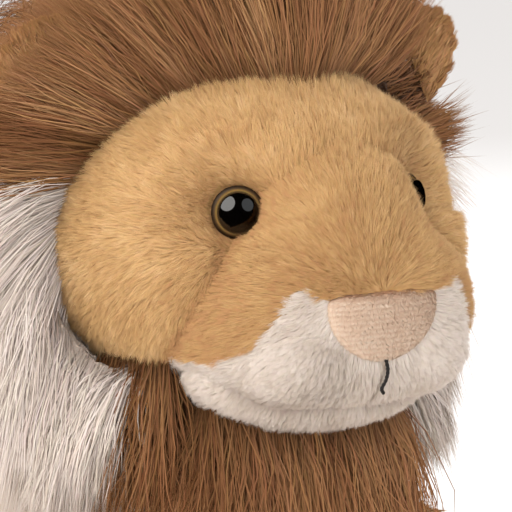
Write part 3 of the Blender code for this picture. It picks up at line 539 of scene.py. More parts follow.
def build_pile_group():
    group = bpy.data.node_groups.new("pile_colour", "ShaderNodeTree")
    for name in ("Root", "Dark", "Middle", "Light"):
        group.interface.new_socket(name=name, in_out="INPUT", socket_type="NodeSocketColor")
    for name in ("Root Length", "Root Strength"):
        group.interface.new_socket(name=name, in_out="INPUT", socket_type="NodeSocketFloat")
    group.interface.new_socket(name="Color", in_out="OUTPUT", socket_type="NodeSocketColor")
    group.interface.new_socket(name="Roughness", in_out="OUTPUT", socket_type="NodeSocketFloat")
    nodes = group.nodes
    given = nodes.new("NodeGroupInput")
    result = nodes.new("NodeGroupOutput")
    strand = nodes.new("ShaderNodeUVMap")
    strand.uv_map = "Strand"
    parts = nodes.new("ShaderNodeSeparateXYZ")
    link(group, strand.outputs["UV"], parts.inputs["Vector"])

    def spread(source, low, high):
        node = nodes.new("ShaderNodeMapRange")
        link(group, source, node.inputs["Value"])
        node.inputs["From Min"].default_value = low
        node.inputs["From Max"].default_value = high
        return node.outputs["Result"]

    def mix(share, first, second):
        node = nodes.new("ShaderNodeMix")
        node.data_type = "RGBA"
        link(group, share, node.inputs["Factor"])
        link(group, first, node.inputs["A"])
        link(group, second, node.inputs["B"])
        return node.outputs["Result"]

    lower = spread(parts.outputs["X"], 0.0, 0.5)
    upper = spread(parts.outputs["X"], 0.5, 1.0)
    fibre = mix(lower, given.outputs["Dark"], given.outputs["Middle"])
    fibre = mix(upper, fibre, given.outputs["Light"])

    stretch = nodes.new("ShaderNodeMapping")
    stretch.inputs["Scale"].default_value = (120.0, 2.0, 1.0)
    link(group, strand.outputs["UV"], stretch.inputs["Vector"])
    streaks = nodes.new("ShaderNodeTexNoise")
    streaks.inputs["Scale"].default_value = 1.0
    streaks.inputs["Detail"].default_value = 2.0
    link(group, stretch.outputs["Vector"], streaks.inputs["Vector"])
    streaked = nodes.new("ShaderNodeMix")
    streaked.data_type = "RGBA"
    streaked.blend_type = "SOFT_LIGHT"
    streaked.inputs["Factor"].default_value = 0.35
    link(group, fibre, streaked.inputs["A"])
    link(group, streaks.outputs["Color"], streaked.inputs["B"])

    near_root = nodes.new("ShaderNodeMapRange")
    near_root.interpolation_type = "SMOOTHSTEP"
    link(group, parts.outputs["Y"], near_root.inputs["Value"])
    link(group, given.outputs["Root Length"], near_root.inputs["From Max"])
    link(group, given.outputs["Root Strength"], near_root.inputs["To Min"])
    near_root.inputs["To Max"].default_value = 0.0
    link(group, mix(near_root.outputs["Result"], streaked.outputs["Result"], given.outputs["Root"]),
         result.inputs["Color"])
    roughness = nodes.new("ShaderNodeMapRange")
    link(group, streaks.outputs["Fac"], roughness.inputs["Value"])
    roughness.inputs["To Min"].default_value = 0.45
    roughness.inputs["To Max"].default_value = 0.75
    link(group, roughness.outputs["Result"], result.inputs["Roughness"])
    return group


pile_group = build_pile_group()


def srgb(red, green, blue):
    """A colour as a screen gives it, from 0 to 255, turned to light values."""
    values = []
    for value in (red, green, blue):
        share = value / 255
        values.append(share / 12.92 if share <= 0.04045 else ((share + 0.055) / 1.055) ** 2.4)
    return (*values, 1.0)


def pile_material(name, root, dark, middle, light, root_length, root_strength, sheen):
    material = bpy.data.materials.new(name)
    material.use_nodes = True
    tree = material.node_tree
    shader = tree.nodes["Principled BSDF"]
    fibre = tree.nodes.new("ShaderNodeGroup")
    fibre.node_tree = pile_group
    for socket, colour in (("Root", root), ("Dark", dark), ("Middle", middle), ("Light", light)):
        fibre.inputs[socket].default_value = srgb(*colour)
    fibre.inputs["Root Length"].default_value = root_length
    fibre.inputs["Root Strength"].default_value = root_strength
    link(tree, fibre.outputs["Color"], shader.inputs["Base Color"])
    link(tree, fibre.outputs["Roughness"], shader.inputs["Roughness"])
    shader.inputs["Specular IOR Level"].default_value = 0.12
    shader.inputs["Sheen Weight"].default_value = sheen
    shader.inputs["Sheen Roughness"].default_value = 0.5
    return material


gold_pile = pile_material(
    "golden_pile", (176, 133, 84), (190, 147, 97), (214, 174, 122), (234, 200, 150), 0.40, 0.35, 0.05)
white_pile = pile_material(
    "cream_pile", (192, 176, 162), (208, 193, 180), (223, 210, 198), (236, 225, 215), 0.35, 0.3, 0.05)
ruff_pile = pile_material(
    "ruff_pile", (160, 144, 132), (204, 190, 180), (220, 208, 199), (238, 229, 221), 0.35, 0.5, 0.05)
brown_pile = pile_material(
    "mane_pile", (80, 50, 26), (124, 82, 49), (153, 108, 71), (184, 140, 98), 0.30, 0.6, 0.05)
nose_pile = pile_material(
    "nose_velour", (222, 188, 162), (232, 200, 174), (243, 216, 192), (250, 230, 210), 0.4, 0.2, 0.1)

# %% [markdown]
# ## Skin under the pile
# Between the strands the knitted backing of the fabric shows through. It takes the colour of the
# pile, darker and mottled, with a fine knit in its bump.

# %% Backing material
def backing_material(name, colour, shade):
    material = bpy.data.materials.new(name)
    material.use_nodes = True
    tree = material.node_tree
    nodes = tree.nodes
    shader = nodes["Principled BSDF"]
    place = nodes.new("ShaderNodeTexCoord")
    knit = nodes.new("ShaderNodeTexVoronoi")
    knit.inputs["Scale"].default_value = 900.0
    link(tree, place.outputs["Object"], knit.inputs["Vector"])
    patches = nodes.new("ShaderNodeTexNoise")
    patches.inputs["Scale"].default_value = 60.0
    patches.inputs["Detail"].default_value = 4.0
    link(tree, place.outputs["Object"], patches.inputs["Vector"])
    tint = nodes.new("ShaderNodeMix")
    tint.data_type = "RGBA"
    tint.inputs["A"].default_value = srgb(*shade)
    tint.inputs["B"].default_value = srgb(*colour)
    link(tree, patches.outputs["Fac"], tint.inputs["Factor"])
    link(tree, tint.outputs["Result"], shader.inputs["Base Color"])
    bump = nodes.new("ShaderNodeBump")
    bump.inputs["Distance"].default_value = 0.0004
    bump.inputs["Strength"].default_value = 0.6
    link(tree, knit.outputs["Distance"], bump.inputs["Height"])
    link(tree, bump.outputs["Normal"], shader.inputs["Normal"])
    shader.inputs["Roughness"].default_value = 0.95
    shader.inputs["Sheen Weight"].default_value = 0.1
    return material


gold_backing = backing_material("golden_backing", (196, 150, 98), (168, 124, 76))
white_backing = backing_material("cream_backing", (222, 206, 190), (200, 182, 166))
brown_backing = backing_material("mane_backing", (100, 66, 38), (74, 46, 24))


def dress(item, material, body):
    """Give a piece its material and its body."""
    item.data.materials.clear()
    item.data.materials.append(material)
    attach(item, body)
    return item


def stuffed(item, material, body, nodes):
    """Dress a stuffed skin that stands for one or more solids, and hide those solids."""
    dress(item, material, body)
    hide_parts(*nodes)
    return item


stuffed(head_skin, gold_backing, "head_group", ["head"])
stuffed(muzzle_skin, gold_backing, "head_group", ["muzzle"])
muzzle_skin.data.materials.append(white_backing)
for word, pad in pad_skins.items():
    stuffed(pad, white_backing, "head_group", [f"muzzle_pad_{word}"])
stuffed(chin_skin, white_backing, "head_group", ["chin"])

# %% [markdown]
# ## Eyes
# A safety eye is a moulded dome on a ribbed shank. The dome is black, and a thin amber rim shows
# round it. A ball's points are moved on to the turned outline, from the top of the dome to the
# end of the shank.

# %% Eye material
def eye_material():
    material = bpy.data.materials.new("eye_gloss")
    material.use_nodes = True
    tree = material.node_tree
    nodes = tree.nodes
    shader = nodes["Principled BSDF"]
    radius = nodes.new("ShaderNodeAttribute")
    radius.attribute_name = "from_axis"
    bands = nodes.new("ShaderNodeValToRGB")
    link(tree, radius.outputs["Fac"], bands.inputs["Fac"])
    # The rim is amber at its inner edge; its darker outer part is partly its own dark brown and partly painted
    # shade of the fur round the eye.
    stops = (
        (0.0, (3, 2, 2)), (0.785, (4, 3, 2)), (0.80, (128, 102, 50)), (0.835, (132, 100, 46)),
        (0.88, (84, 60, 25)), (0.93, (48, 32, 13)), (1.0, (24, 15, 7)),
    )
    ramp = bands.color_ramp
    while len(ramp.elements) < len(stops):
        ramp.elements.new(0.5)
    for element, (spot, colour) in zip(ramp.elements, stops):
        element.position = spot
        element.color = srgb(*colour)
    place = nodes.new("ShaderNodeTexCoord")
    flecks = nodes.new("ShaderNodeTexNoise")
    flecks.inputs["Scale"].default_value = 1500.0
    link(tree, place.outputs["Object"], flecks.inputs["Vector"])
    blend = nodes.new("ShaderNodeMix")
    blend.data_type = "RGBA"
    blend.blend_type = "SOFT_LIGHT"
    blend.inputs["Factor"].default_value = 0.3
    link(tree, bands.outputs["Color"], blend.inputs["A"])
    link(tree, flecks.outputs["Color"], blend.inputs["B"])
    link(tree, blend.outputs["Result"], shader.inputs["Base Color"])
    wear = nodes.new("ShaderNodeMapRange")
    link(tree, flecks.outputs["Fac"], wear.inputs["Value"])
    wear.inputs["To Min"].default_value = 0.03
    wear.inputs["To Max"].default_value = 0.09
    shader.inputs["IOR"].default_value = 1.55
    shader.inputs["Specular IOR Level"].default_value = 0.25
    on_dome = nodes.new("ShaderNodeMapRange")
    link(tree, radius.outputs["Fac"], on_dome.inputs["Value"])
    on_dome.inputs["From Min"].default_value = 0.80
    on_dome.inputs["From Max"].default_value = 0.77
    link(tree, on_dome.outputs["Result"], shader.inputs["Coat Weight"])
    dull = nodes.new("ShaderNodeMapRange")
    link(tree, on_dome.outputs["Result"], dull.inputs["Value"])
    dull.inputs["To Min"].default_value = 0.5
    link(tree, wear.outputs["Result"], dull.inputs["To Max"])
    link(tree, dull.outputs["Result"], shader.inputs["Roughness"])
    shader.inputs["Coat Roughness"].default_value = 0.03
    return material


# %% Eyes
DOME_RADIUS = 6.4
DOME_CURVE = 10.2
SHOULDER_RADIUS = 5.95
SHOULDER_HEIGHT = 2.4
RIM_RADIUS = 8.1
RIM_FOOT = 0.65
SHANK_RADIUS = 2.4
SHANK_LENGTH = 15.0


def eye_outline():
    """Radius and height of an eye's outline, from the top of the dome to the end of the shank."""
    outline = []
    widest = math.asin(SHOULDER_RADIUS / DOME_CURVE)
    for step in range(13):
        angle = widest * step / 12
        rise = DOME_CURVE * (math.cos(angle) - math.cos(widest))
        outline.append((DOME_CURVE * math.sin(angle), RIM_FOOT + SHOULDER_HEIGHT + rise))
    for radius, drop in ((6.18, 0.25), (6.33, 0.6), (DOME_RADIUS, 1.1), (DOME_RADIUS, SHOULDER_HEIGHT)):
        outline.append((radius, RIM_FOOT + SHOULDER_HEIGHT - drop))
    outline.extend([(6.8, 0.7), (7.3, 0.6), (7.75, 0.3), (RIM_RADIUS, -0.2), (8.0, -0.8), (7.4, -1.2)])
    outline.extend([(SHANK_RADIUS + 0.3, -1.3), (SHANK_RADIUS, -2.0), (SHANK_RADIUS, -5.0)])
    for rib in range(4):
        height = -6.2 - 1.8 * rib
        outline.append((SHANK_RADIUS, height))
        outline.extend([(SHANK_RADIUS + 0.4, height - 0.9), (SHANK_RADIUS, height - 1.2)])
    outline.extend([(1.5, -SHANK_LENGTH + 0.3), (0.0, -SHANK_LENGTH)])
    return np.array(outline)


def turned(name, outline, middle, facing, around=72, rings=80):
    """A ball moved on to a turned outline about an axis."""
    item = ball(name, around, rings)
    unit = read_points(item)
    share = np.arccos(np.clip(unit[:, 2], -1, 1)) / math.pi
    spots = np.linspace(0, 1, len(outline))
    radius = np.interp(share, spots, outline[:, 0])
    height = np.interp(share, spots, outline[:, 1])
    angle = np.arctan2(unit[:, 1], unit[:, 0])
    local = np.stack([radius * np.cos(angle), radius * np.sin(angle), height], 1) * MM
    turn = np.array(Vector((0, 0, 1)).rotation_difference(facing).to_matrix())
    write_points(item, local @ turn.T + np.array(middle))
    layer = item.data.attributes.new("from_axis", "FLOAT", "POINT")
    layer.data.foreach_set("value", (radius / RIM_RADIUS).astype(np.float32))
    return item


eye_gloss = eye_material()
for side, word in ((1, "left"), (-1, "right")):
    eye = turned(f"glossy_eye_{word}", eye_outline(), eye_place(side), eye_facing(side))
    dress(eye, eye_gloss, "head_group")
    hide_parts(f"eye_{word}")

# %% Washers
washer_look = backing_material("washer_moulding", (224, 224, 220), (206, 206, 202))
for word in ("left", "right"):
    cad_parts[f"eye_washer_{word}"].material_slots[0].material = washer_look

# %% [markdown]
# ## Nose and mouth
# The nose is a shield of velour with a nearly straight top edge. The mouth is one dark thread,
# two plies twisted together, that runs down the groove between the pads.

# %% Nose skin
NOSE_TOP = -23.4
NOSE_MIDDLE = -28.0
NOSE_BOTTOM = -44.0
NOSE_HALF_WIDTH = 20.0


def nose_places(unit):
    """A shield: square above, pointed below, and crowned to the front."""
    upper = unit[:, 2] > 0
    fullness = np.where(upper, 5.0, 1.9)
    flat = np.maximum(np.hypot(unit[:, 0], unit[:, 2]), 1e-6)
    corner = np.abs(unit[:, 0] / flat) ** fullness + np.abs(unit[:, 2] / flat) ** fullness
    reach = np.maximum(corner, 0.1) ** (-1 / fullness)
    across = unit[:, 0] * reach
    upward = unit[:, 2] * reach
    rise = NOSE_MIDDLE + np.where(upper, NOSE_TOP - NOSE_MIDDLE, NOSE_MIDDLE - NOSE_BOTTOM) * upward
    wide = NOSE_HALF_WIDTH * across
    base = muzzle_forward(wide, rise) - 0.5
    crown = np.where(unit[:, 1] < 0, 2.6, 8.0)
    forward = base - signed_power(unit[:, 1], 0.6) * crown
    return np.array(HEAD_MIDDLE) + np.stack([wide, -forward, rise], 1) * MM


nose_skin = ball("nose_skin", 80, 48)
write_points(nose_skin, nose_places(read_points(nose_skin)))
nose_backing = backing_material("nose_backing", (236, 206, 180), (222, 190, 164))
stuffed(nose_skin, nose_backing, "head_group", ["nose"])

# %% Mouth thread
THREAD_RADIUS = 0.36
THREAD_POINTS = 40
MOUTH_ROUTE = (
    (0.0, 66.3, -44.0), (0.3, 66.7, -47.0), (0.0, 66.2, -50.0), (-0.6, 64.9, -52.8), (1.0, 63.8, -54.6))


def smooth_route(route, count):
    """Evenly shared places on a smooth curve through a few points."""
    route = np.array(route)
    spots = np.linspace(0, len(route) - 1, count)
    padded_route = np.concatenate([route[:1] * 2 - route[1:2], route, route[-1:] * 2 - route[-2:-1]])
    index = np.minimum(spots.astype(int), len(route) - 2)
    share = (spots - index)[:, None]
    before, start, end, after = (padded_route[index + step] for step in range(4))
    rise, fall = (end - before) / 2, (after - start) / 2
    cubed, squared = share**3, share**2
    return (start * (2 * cubed - 3 * squared + 1) + rise * (cubed - 2 * squared + share)
            + end * (3 * squared - 2 * cubed) + fall * (cubed - squared))


def ply(name, phase):
    """One ply of the thread, a fine tube that winds about the route."""
    route = smooth_route(MOUTH_ROUTE, THREAD_POINTS)
    turns = np.linspace(0, 2 * math.pi * 5, THREAD_POINTS) + phase
    route = route + np.stack([np.cos(turns), np.sin(turns), 0 * turns], 1) * THREAD_RADIUS * 0.8
    curve = bpy.data.curves.new(name, "CURVE")
    curve.dimensions = "3D"
    curve.bevel_depth = THREAD_RADIUS * MM
    curve.bevel_resolution = 2
    curve.use_fill_caps = True
    spline = curve.splines.new("POLY")
    spline.points.add(THREAD_POINTS - 1)
    for point, place in zip(spline.points, route):
        point.co = (*on_face(*place), 1.0)
    item = bpy.data.objects.new(name, curve)
    bpy.context.scene.collection.objects.link(item)
    only(item)
    bpy.ops.object.convert(target="MESH")
    return bpy.context.object


thread_look = backing_material("dark_thread_look", (44, 38, 34), (22, 18, 16))
for number in range(2):
    strand = ply(f"mouth_thread_{number + 1}", math.pi * number)
    dress(strand, thread_look, "head_group")
    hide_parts("mouth_stitch")

# %% [markdown]
# ## Short pile of the face
# The pile is combed away from the inner corners of the eyes over the head, and away from the
# nose over the muzzle. Gold turns to cream at a sewn line that runs from beside the nose back
# along the lip.

# %% Face lines
SEAM_ANGLES = (0, 15, 30, 45, 60, 75, 90, 105, 120, 135, 150, 165, 180)
SEAM_FORWARD = (25, 20, 13, 5, -1, -12, -24, -22, -26, -21, -9, 2, 10)
LIP_TURNS = (0, 28, 35, 40.5, 44.5, 49, 55, 71, 91, 120, 180)
LIP_RISES = (-25, -25, -22, -22, -26, -31.6, -38, -43.3, -44.2, -44, -44)


def ring_angle(places):
    """Degrees down from the top of the head, seen from the front."""
    across, _, rise = face_measures(places)
    return np.degrees(np.arctan2(np.abs(across), rise + 3))


def before_seam(places):
    """How many millimetres each place lies in front of the seam between face and mane."""
    _, forward, _ = face_measures(places)
    return forward - np.interp(ring_angle(places), SEAM_ANGLES, SEAM_FORWARD)


def above_lip(places):
    """How many millimetres each place lies above the line between gold and cream."""
    across, forward, rise = face_measures(places)
    turn = np.degrees(np.arctan2(np.abs(across), forward - MUZZLE_MIDDLE_FORWARD))
    return rise - np.interp(turn, LIP_TURNS, LIP_RISES)


middles = np.array([face.center for face in muzzle_skin.data.polygons])
muzzle_skin.data.polygons.foreach_set("material_index", (above_lip(middles) < 0).astype(np.int32))
muzzle_skin.data.update()


def clear_of_eyes(places, radius):
    """Places outside a cylinder round each eye's axis, in front of the head."""
    free = np.ones(len(places), dtype=bool)
    for side in (-1, 1):
        away = places - np.array(eye_place(side))
        axis = np.array(eye_facing(side))
        depth = away @ axis
        across = np.linalg.norm(away - depth[:, None] * axis, axis=1)
        free &= (across > radius * MM) | (depth < -0.012)
    return free


def head_flow(places, normals):
    across, _, rise = face_measures(places)
    middle = np.zeros_like(places)
    middle[:, 0] = np.clip(across, -27, 27) * 0.7
    middle[:, 1] = -42
    middle[:, 2] = -6
    away = unit_rows(places - (np.array(HEAD_MIDDLE) + middle * MM))
    return comb(away + DOWN * (np.clip(-6 - rise, 0, 40) / 32)[:, None], normals)


def muzzle_flow(places, normals):
    return comb(places - np.array(on_face(0, 66, -24)), normals)


# %% Face pile
face_skins = [head_skin, muzzle_skin, *pad_skins.values(), chin_skin, nose_skin]
GROUND_CLEARANCE = 0.0007


def short_pile(name, places, normals, flow, length, width, tone, material, body, seed,
               lift=0.46, settle=0.16, spacing=1.5, pull=0.6, roll=0.3, droop=0.0, shading=3.0,
               levels=1):
    """Grow, gather and dress one piece of short pile."""
    rng = np.random.default_rng(seed)
    lines = grow(places, normals, flow, np.asarray(length) * MM, rng, lift, settle, levels, droop=droop)
    lines, locks = gather(lines, spacing * MM, pull, rng)
    lines[:, :, 2] = np.maximum(lines[:, :, 2], GROUND_CLEARANCE)
    lock_tone = rng.normal(scale=0.12, size=len(places))[locks]
    tone = tone + lock_tone + rng.normal(scale=0.05, size=len(places))
    item = ribbons(name, lines, normals, width * MM * rng.uniform(0.75, 1.25, len(places)), tone, rng, roll,
                   skin_shading=shading)
    return dress(item, material, body)


def beside_thread(places):
    """Places that aren't under the mouth thread."""
    across, forward, rise = face_measures(places)
    beside = (np.abs(across) > 0.8) | (forward < 50)
    return beside | (rise > NOSE_BOTTOM) | (rise < MOUTH_ROUTE[-1][2] - 0.5)


EYE_OPENING = 7.9
open_parts = {}


def face_roots(item, count, seed, keep):
    """Roots on one skin of the face, outside the other skins and where keep is true."""
    rng = np.random.default_rng(seed)
    others = [other for other in face_skins if other is not item]
    if item.name not in open_parts:
        open_parts[item.name] = outside(read_points(item), others)
    places, normals = scatter_where(
        item, count, rng,
        lambda spots: keep(spots) & clear_of_eyes(spots, EYE_OPENING) & beside_thread(spots),
        open_parts[item.name])
    free = outside(places, others)
    return places[free], normals[free]


def wander(places, size, rng):
    """Soft swerves that pile takes when a hand has brushed over it."""
    return np.stack([mottle(places, size, rng) for _ in range(3)], 1)


def swerving(flow, places, normals, amount, size, rng):
    """A flow with the swerves of brushed pile, laid down along the skin."""
    swerves = amount * wander(places, size, rng)
    return comb(unit_rows(flow + swerves + 0.1 * rng.normal(size=places.shape)), normals)


def eye_trim(places):
    """How far strands are cut back near the eyes, from 0 at the rim to 1 away from it."""
    nearest = np.full(len(places), 1e3)
    for side in (-1, 1):
        nearest = np.minimum(nearest, from_axis(places, eye_place(side), eye_facing(side))[1] / MM)
    return np.clip((nearest - 7.0) / 9.0, 0.0, 1.0)


def painted_crease_shade(places, beside):
    """Darker tone where two skins meet, partly darker fibre and partly painted shade, and painted shade round
    the eyes.
    """
    soft = np.interp(face_measures(places)[2], FOLD_LEVELS, (1.0, 0.2))
    tone = -0.65 * soft * np.exp(-((gaps_to(beside, places) / 2.8) ** 2))
    return tone - 0.5 * (1 - eye_trim(places)) ** 2


def head_pile(word, side, seed):
    rng = np.random.default_rng(seed)
    places, normals = face_roots(head_skin, 84000, seed + 1,
                                 lambda spots: (before_seam(spots) > -4) & (spots[:, 0] * side > 0))
    # Painted shade darkens the gold at the fold beside the muzzle and round the eyes.
    tone = 0.38 + 0.12 * mottle(places, 0.022, rng) + painted_crease_shade(places, muzzle_skin)
    flow = swerving(head_flow(places, normals), places, normals, 0.3, 0.009, rng)
    brink = np.exp(-((before_seam(places) / 9) ** 2))
    length = 3.0 + 3.8 * eye_trim(places) + 2.0 * brink
    return short_pile(f"head_pile_{word}", places, normals, flow, length, 0.27, tone, gold_pile,
                      "head_group", seed + 2, lift=0.46 + 0.14 * brink[:, None],
                      settle=0.16 + 0.3 * brink[:, None])


def muzzle_gold_pile():
    rng = np.random.default_rng(21)
    places, normals = face_roots(muzzle_skin, 78000, 22, lambda spots: above_lip(spots) > 0)
    # Painted shade: the muzzle's gold is darker towards its lower part, and darker still at the fold beside the
    # head.
    lower_muzzle_shade = np.interp(face_measures(places)[2], (-30, 0), (0.04, 0.28))
    tone = lower_muzzle_shade + 0.12 * mottle(places, 0.018, rng) + 0.7 * painted_crease_shade(places, head_skin)
    flow = swerving(muzzle_flow(places, normals), places, normals, 0.25, 0.008, rng)
    length = 3.0 + 3.4 * eye_trim(places)
    return short_pile("muzzle_pile", places, normals, flow, length, 0.27, tone, gold_pile,
                      "head_group", 23)


def cream_pile(name, item, count, seed, length, keep=None):
    rng = np.random.default_rng(seed)
    places, normals = face_roots(item, count, seed + 1, keep or (lambda spots: spots[:, 2] > 0))
    tone = 0.6 + 0.15 * mottle(places, 0.015, rng)
    # The chin's cream is painted darker next to the lip pads: a painted shadow under the pads.
    if item is chin_skin:
        for pad in pad_skins.values():
            tone = tone - 0.6 * np.exp(-((gaps_to(pad, places) / 3.0) ** 2))
    flow = swerving(muzzle_flow(places, normals), places, normals, 0.25, 0.008, rng)
    return short_pile(name, places, normals, flow, length, 0.25, tone, white_pile,
                      "head_group", seed + 2, droop=0.15)


head_pile("left", 1, 11)
head_pile("right", -1, 15)
muzzle_gold_pile()
cream_pile("lip_pile", muzzle_skin, 30000, 31, 4.8, lambda spots: above_lip(spots) <= 0.6)
for seed, (word, pad) in zip((41, 51), pad_skins.items()):
    cream_pile(f"lip_pad_pile_{word}", pad, 26000, seed, 4.6)
cream_pile("chin_pile", chin_skin, 52000, 61, 4.6)

# %% Nose velour
def nose_velour():
    rng = np.random.default_rng(71)
    open_points = outside(read_points(nose_skin), [muzzle_skin])
    places, normals = scatter(nose_skin, 44000, rng, open_points)
    free = outside(places, [muzzle_skin])
    places, normals = places[free], normals[free]
    rows = np.sin(places[:, 2] / MM * 4.2 + 0.8 * mottle(places, 0.006, rng))
    tone = 0.5 + 0.20 * rows + 0.1 * mottle(places, 0.008, rng)
    flow = comb(np.tile(DOWN, (len(places), 1)) + np.array((-0.5, 0.0, 0.0)), normals)
    return short_pile("nose_pile", places, normals, flow, 0.8 + 0.15 * rows, 0.24, tone, nose_pile,
                      "head_group", 72, lift=0.7, settle=0.4, spacing=0.6, pull=0.3,
                      shading=6.0)


nose_velour()

# %% [markdown]
# ## Stuffed body, limbs and panels
# The body, neck, legs, feet, tail and ears are stuffed skins, and so are the panels that carry
# the mane. Each starts from its solid, is rebuilt as one even mesh, eased like cloth over
# filling, and pressed into the soft lumps that fibre makes.

# %% Skins from the solids
SHRINK_SHARE = 0.36


def node_skin(node, name, voxel, shrink, lumps, ease, seed):
    """An even, eased skin inside a solid, with the lumps of its filling."""
    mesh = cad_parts[node].data.copy()
    mesh.name = name
    item = bpy.data.objects.new(name, mesh)
    bpy.context.scene.collection.objects.link(item)
    apply_modifier(item, "WELD", merge_threshold=0.00002)
    apply_modifier(item, "REMESH", mode="VOXEL", voxel_size=voxel * MM)
    apply_modifier(item, "SMOOTH", factor=0.5, iterations=ease)
    points, normals, triangles = skin_arrays(item)
    tree = BVHTree.FromPolygons(points.tolist(), triangles.tolist())
    inside = points - normals * 0.02 * MM
    thickness = np.array([tree.ray_cast(start.tolist(), (-way).tolist())[3] or 0.0
                          for start, way in zip(inside, normals)]) / MM
    shrink = np.minimum(shrink, SHRINK_SHARE * thickness)
    rng = np.random.default_rng(seed)
    push = lumps * mottle(points, 0.03, rng) - shrink
    write_points(item, points + normals * (push * MM)[:, None])
    apply_modifier(item, "SMOOTH", factor=0.5, iterations=5)
    item.data.shade_smooth()
    return item


GOLD_PARTS = (
    ("body", "torso", 6.0, 3.5, 0.8), ("neck", "torso", 5.0, 3.0, 0.4), ("haunch_left", "torso", 5.0, 3.0, 0.8),
    ("haunch_right", "torso", 5.0, 3.0, 0.8), ("hind_foot_left", "torso", 3.5, 2.5, 0.4),
    ("hind_foot_right", "torso", 3.5, 2.5, 0.4), ("foreleg_left", "foreleg_left_group", 4.0, 3.0, 0.6),
    ("foreleg_right", "foreleg_right_group", 4.0, 3.0, 0.6), ("tail", "tail_group", 2.5, 2.0, 0.3),
    ("ear_left", "head_group", 1.5, 1.5, 0.1), ("ear_right", "head_group", 1.5, 1.5, 0.1),
)
gold_skins = {}
for number, (node, body, voxel, shrink, lumps) in enumerate(GOLD_PARTS):
    skin = node_skin(node, f"{node}_skin", voxel, shrink, lumps, 4, 100 + number)
    stuffed(skin, gold_backing, body, [node])
    gold_skins[node] = skin

LONG_PARTS = (
    ("mane_crown", "brown", 12.0), ("mane_left", "brown", 12.0), ("mane_right", "brown", 12.0),
    ("mane_nape", "brown", 10.0), ("mane_chest", "brown", 10.0), ("ruff_left", "cream", 15.0),
    ("ruff_right", "cream", 15.0), ("tail_tuft", "brown", 6.0),
)
long_skins = {}
for number, (node, tint, shrink) in enumerate(LONG_PARTS):
    skin = node_skin(node, f"{node}_skin", 4.5, shrink, 0.5, 6, 140 + number)
    body = "tail_group" if node == "tail_tuft" else "head_group"
    look, slot = (brown_backing, "brown_pile") if tint == "brown" else (white_backing, "white_pile")
    stuffed(skin, look, body, [node])
    long_skins[node] = skin
print(len(gold_skins) + len(long_skins), "stuffed skins")


def draw_in(item, shares):
    """Draw a skin in towards its own middle, by a share along each axis."""
    points = read_points(item)
    middle = (points.min(0) + points.max(0)) / 2
    write_points(item, middle + (points - middle) * np.array(shares))


draw_in(long_skins["mane_chest"], (0.72, 0.62, 0.9))
RUFF_SHIFT = (0.0, 9.0, -4.0)
for word in ("left", "right"):
    skin = long_skins[f"ruff_{word}"]
    draw_in(skin, (0.82, 0.82, 0.86))
    write_points(skin, read_points(skin) + np.array(RUFF_SHIFT) * MM)

# %% [markdown]
# ## Pile of the body
# The body wears the same golden pile as the face, a little longer. It is brushed from the chest
# to the tail and down the legs to the toes.

# %% Body pile
def body_pile(node, body, count, length, way, seed, width=0.9, material=gold_pile, others=()):
    rng = np.random.default_rng(seed)
    places, normals = scatter(gold_skins[node], count, rng)
    free = outside(places, [gold_skins[other] for other in others]) & (places[:, 2] > 0.002)
    places, normals = places[free], normals[free]
    flow = np.tile(np.array(way, dtype=float), (len(places), 1)) + 0.2 * rng.normal(size=places.shape)
    flow = comb(flow + 0.1 * normals, normals)
    tone = 0.5 + 0.16 * mottle(places, 0.035, rng)
    return short_pile(f"{node}_pile", places, normals, flow, length, width, tone, material, body,
                      seed + 1, lift=0.3, settle=-0.06, spacing=3.5, shading=0.9, levels=2)


body_pile("body", "torso", 34000, 12.0, (0, 1, -0.35), 201, others=("neck", "haunch_left", "haunch_right"))
body_pile("neck", "torso", 6000, 12.0, (0, 0.4, -1), 203, others=("body",))
for side, word in ((1, "left"), (-1, "right")):
    body_pile(f"haunch_{word}", "torso", 12000, 11.0, (0.2 * side, 0.5, -1), 205 + side,
              others=("body", f"hind_foot_{word}"))
    body_pile(f"hind_foot_{word}", "torso", 6000, 8.0, (0, -1, -0.3), 215 + side,
              others=(f"haunch_{word}",))
    body_pile(f"foreleg_{word}", f"foreleg_{word}_group", 17000, 9.0, (0, -1, -0.2), 225 + side,
              others=("body",))
body_pile("tail", "tail_group", 7000, 8.0, (0, 1, 0), 235, width=0.7)

ear_pile_look = pile_material(
    "ear_pile", (104, 70, 38), (150, 106, 64), (178, 132, 86), (214, 168, 120), 0.45, 0.5, 0.1)
for side, word in ((1, "left"), (-1, "right")):
    body_pile(f"ear_{word}", "head_group", 8000, 6.5, (0.5 * side, 0.2, 1), 245 + side, width=0.5,
              material=ear_pile_look)

# %% [markdown]
# ## Mane
# Long pile grows from a strip of scalp just behind the seam of the face, and from the panels
# behind it. The strands rise away from the middle of the head and lean back. Below the cheeks
# they hang, in cream at the sides and in brown on the chest.

# %% Long pile
HEAD_TURN_PLACE = (0.0, -0.075)
HEAD_TURNS = (-20, 0, 20)
BODY_CLEARANCE = 0.6
SHORTENING = 0.75
SHORTENING_ROUNDS = 6
BODY_BELOW = [gold_skins[node] for node in ("body", "foreleg_left", "foreleg_right")]


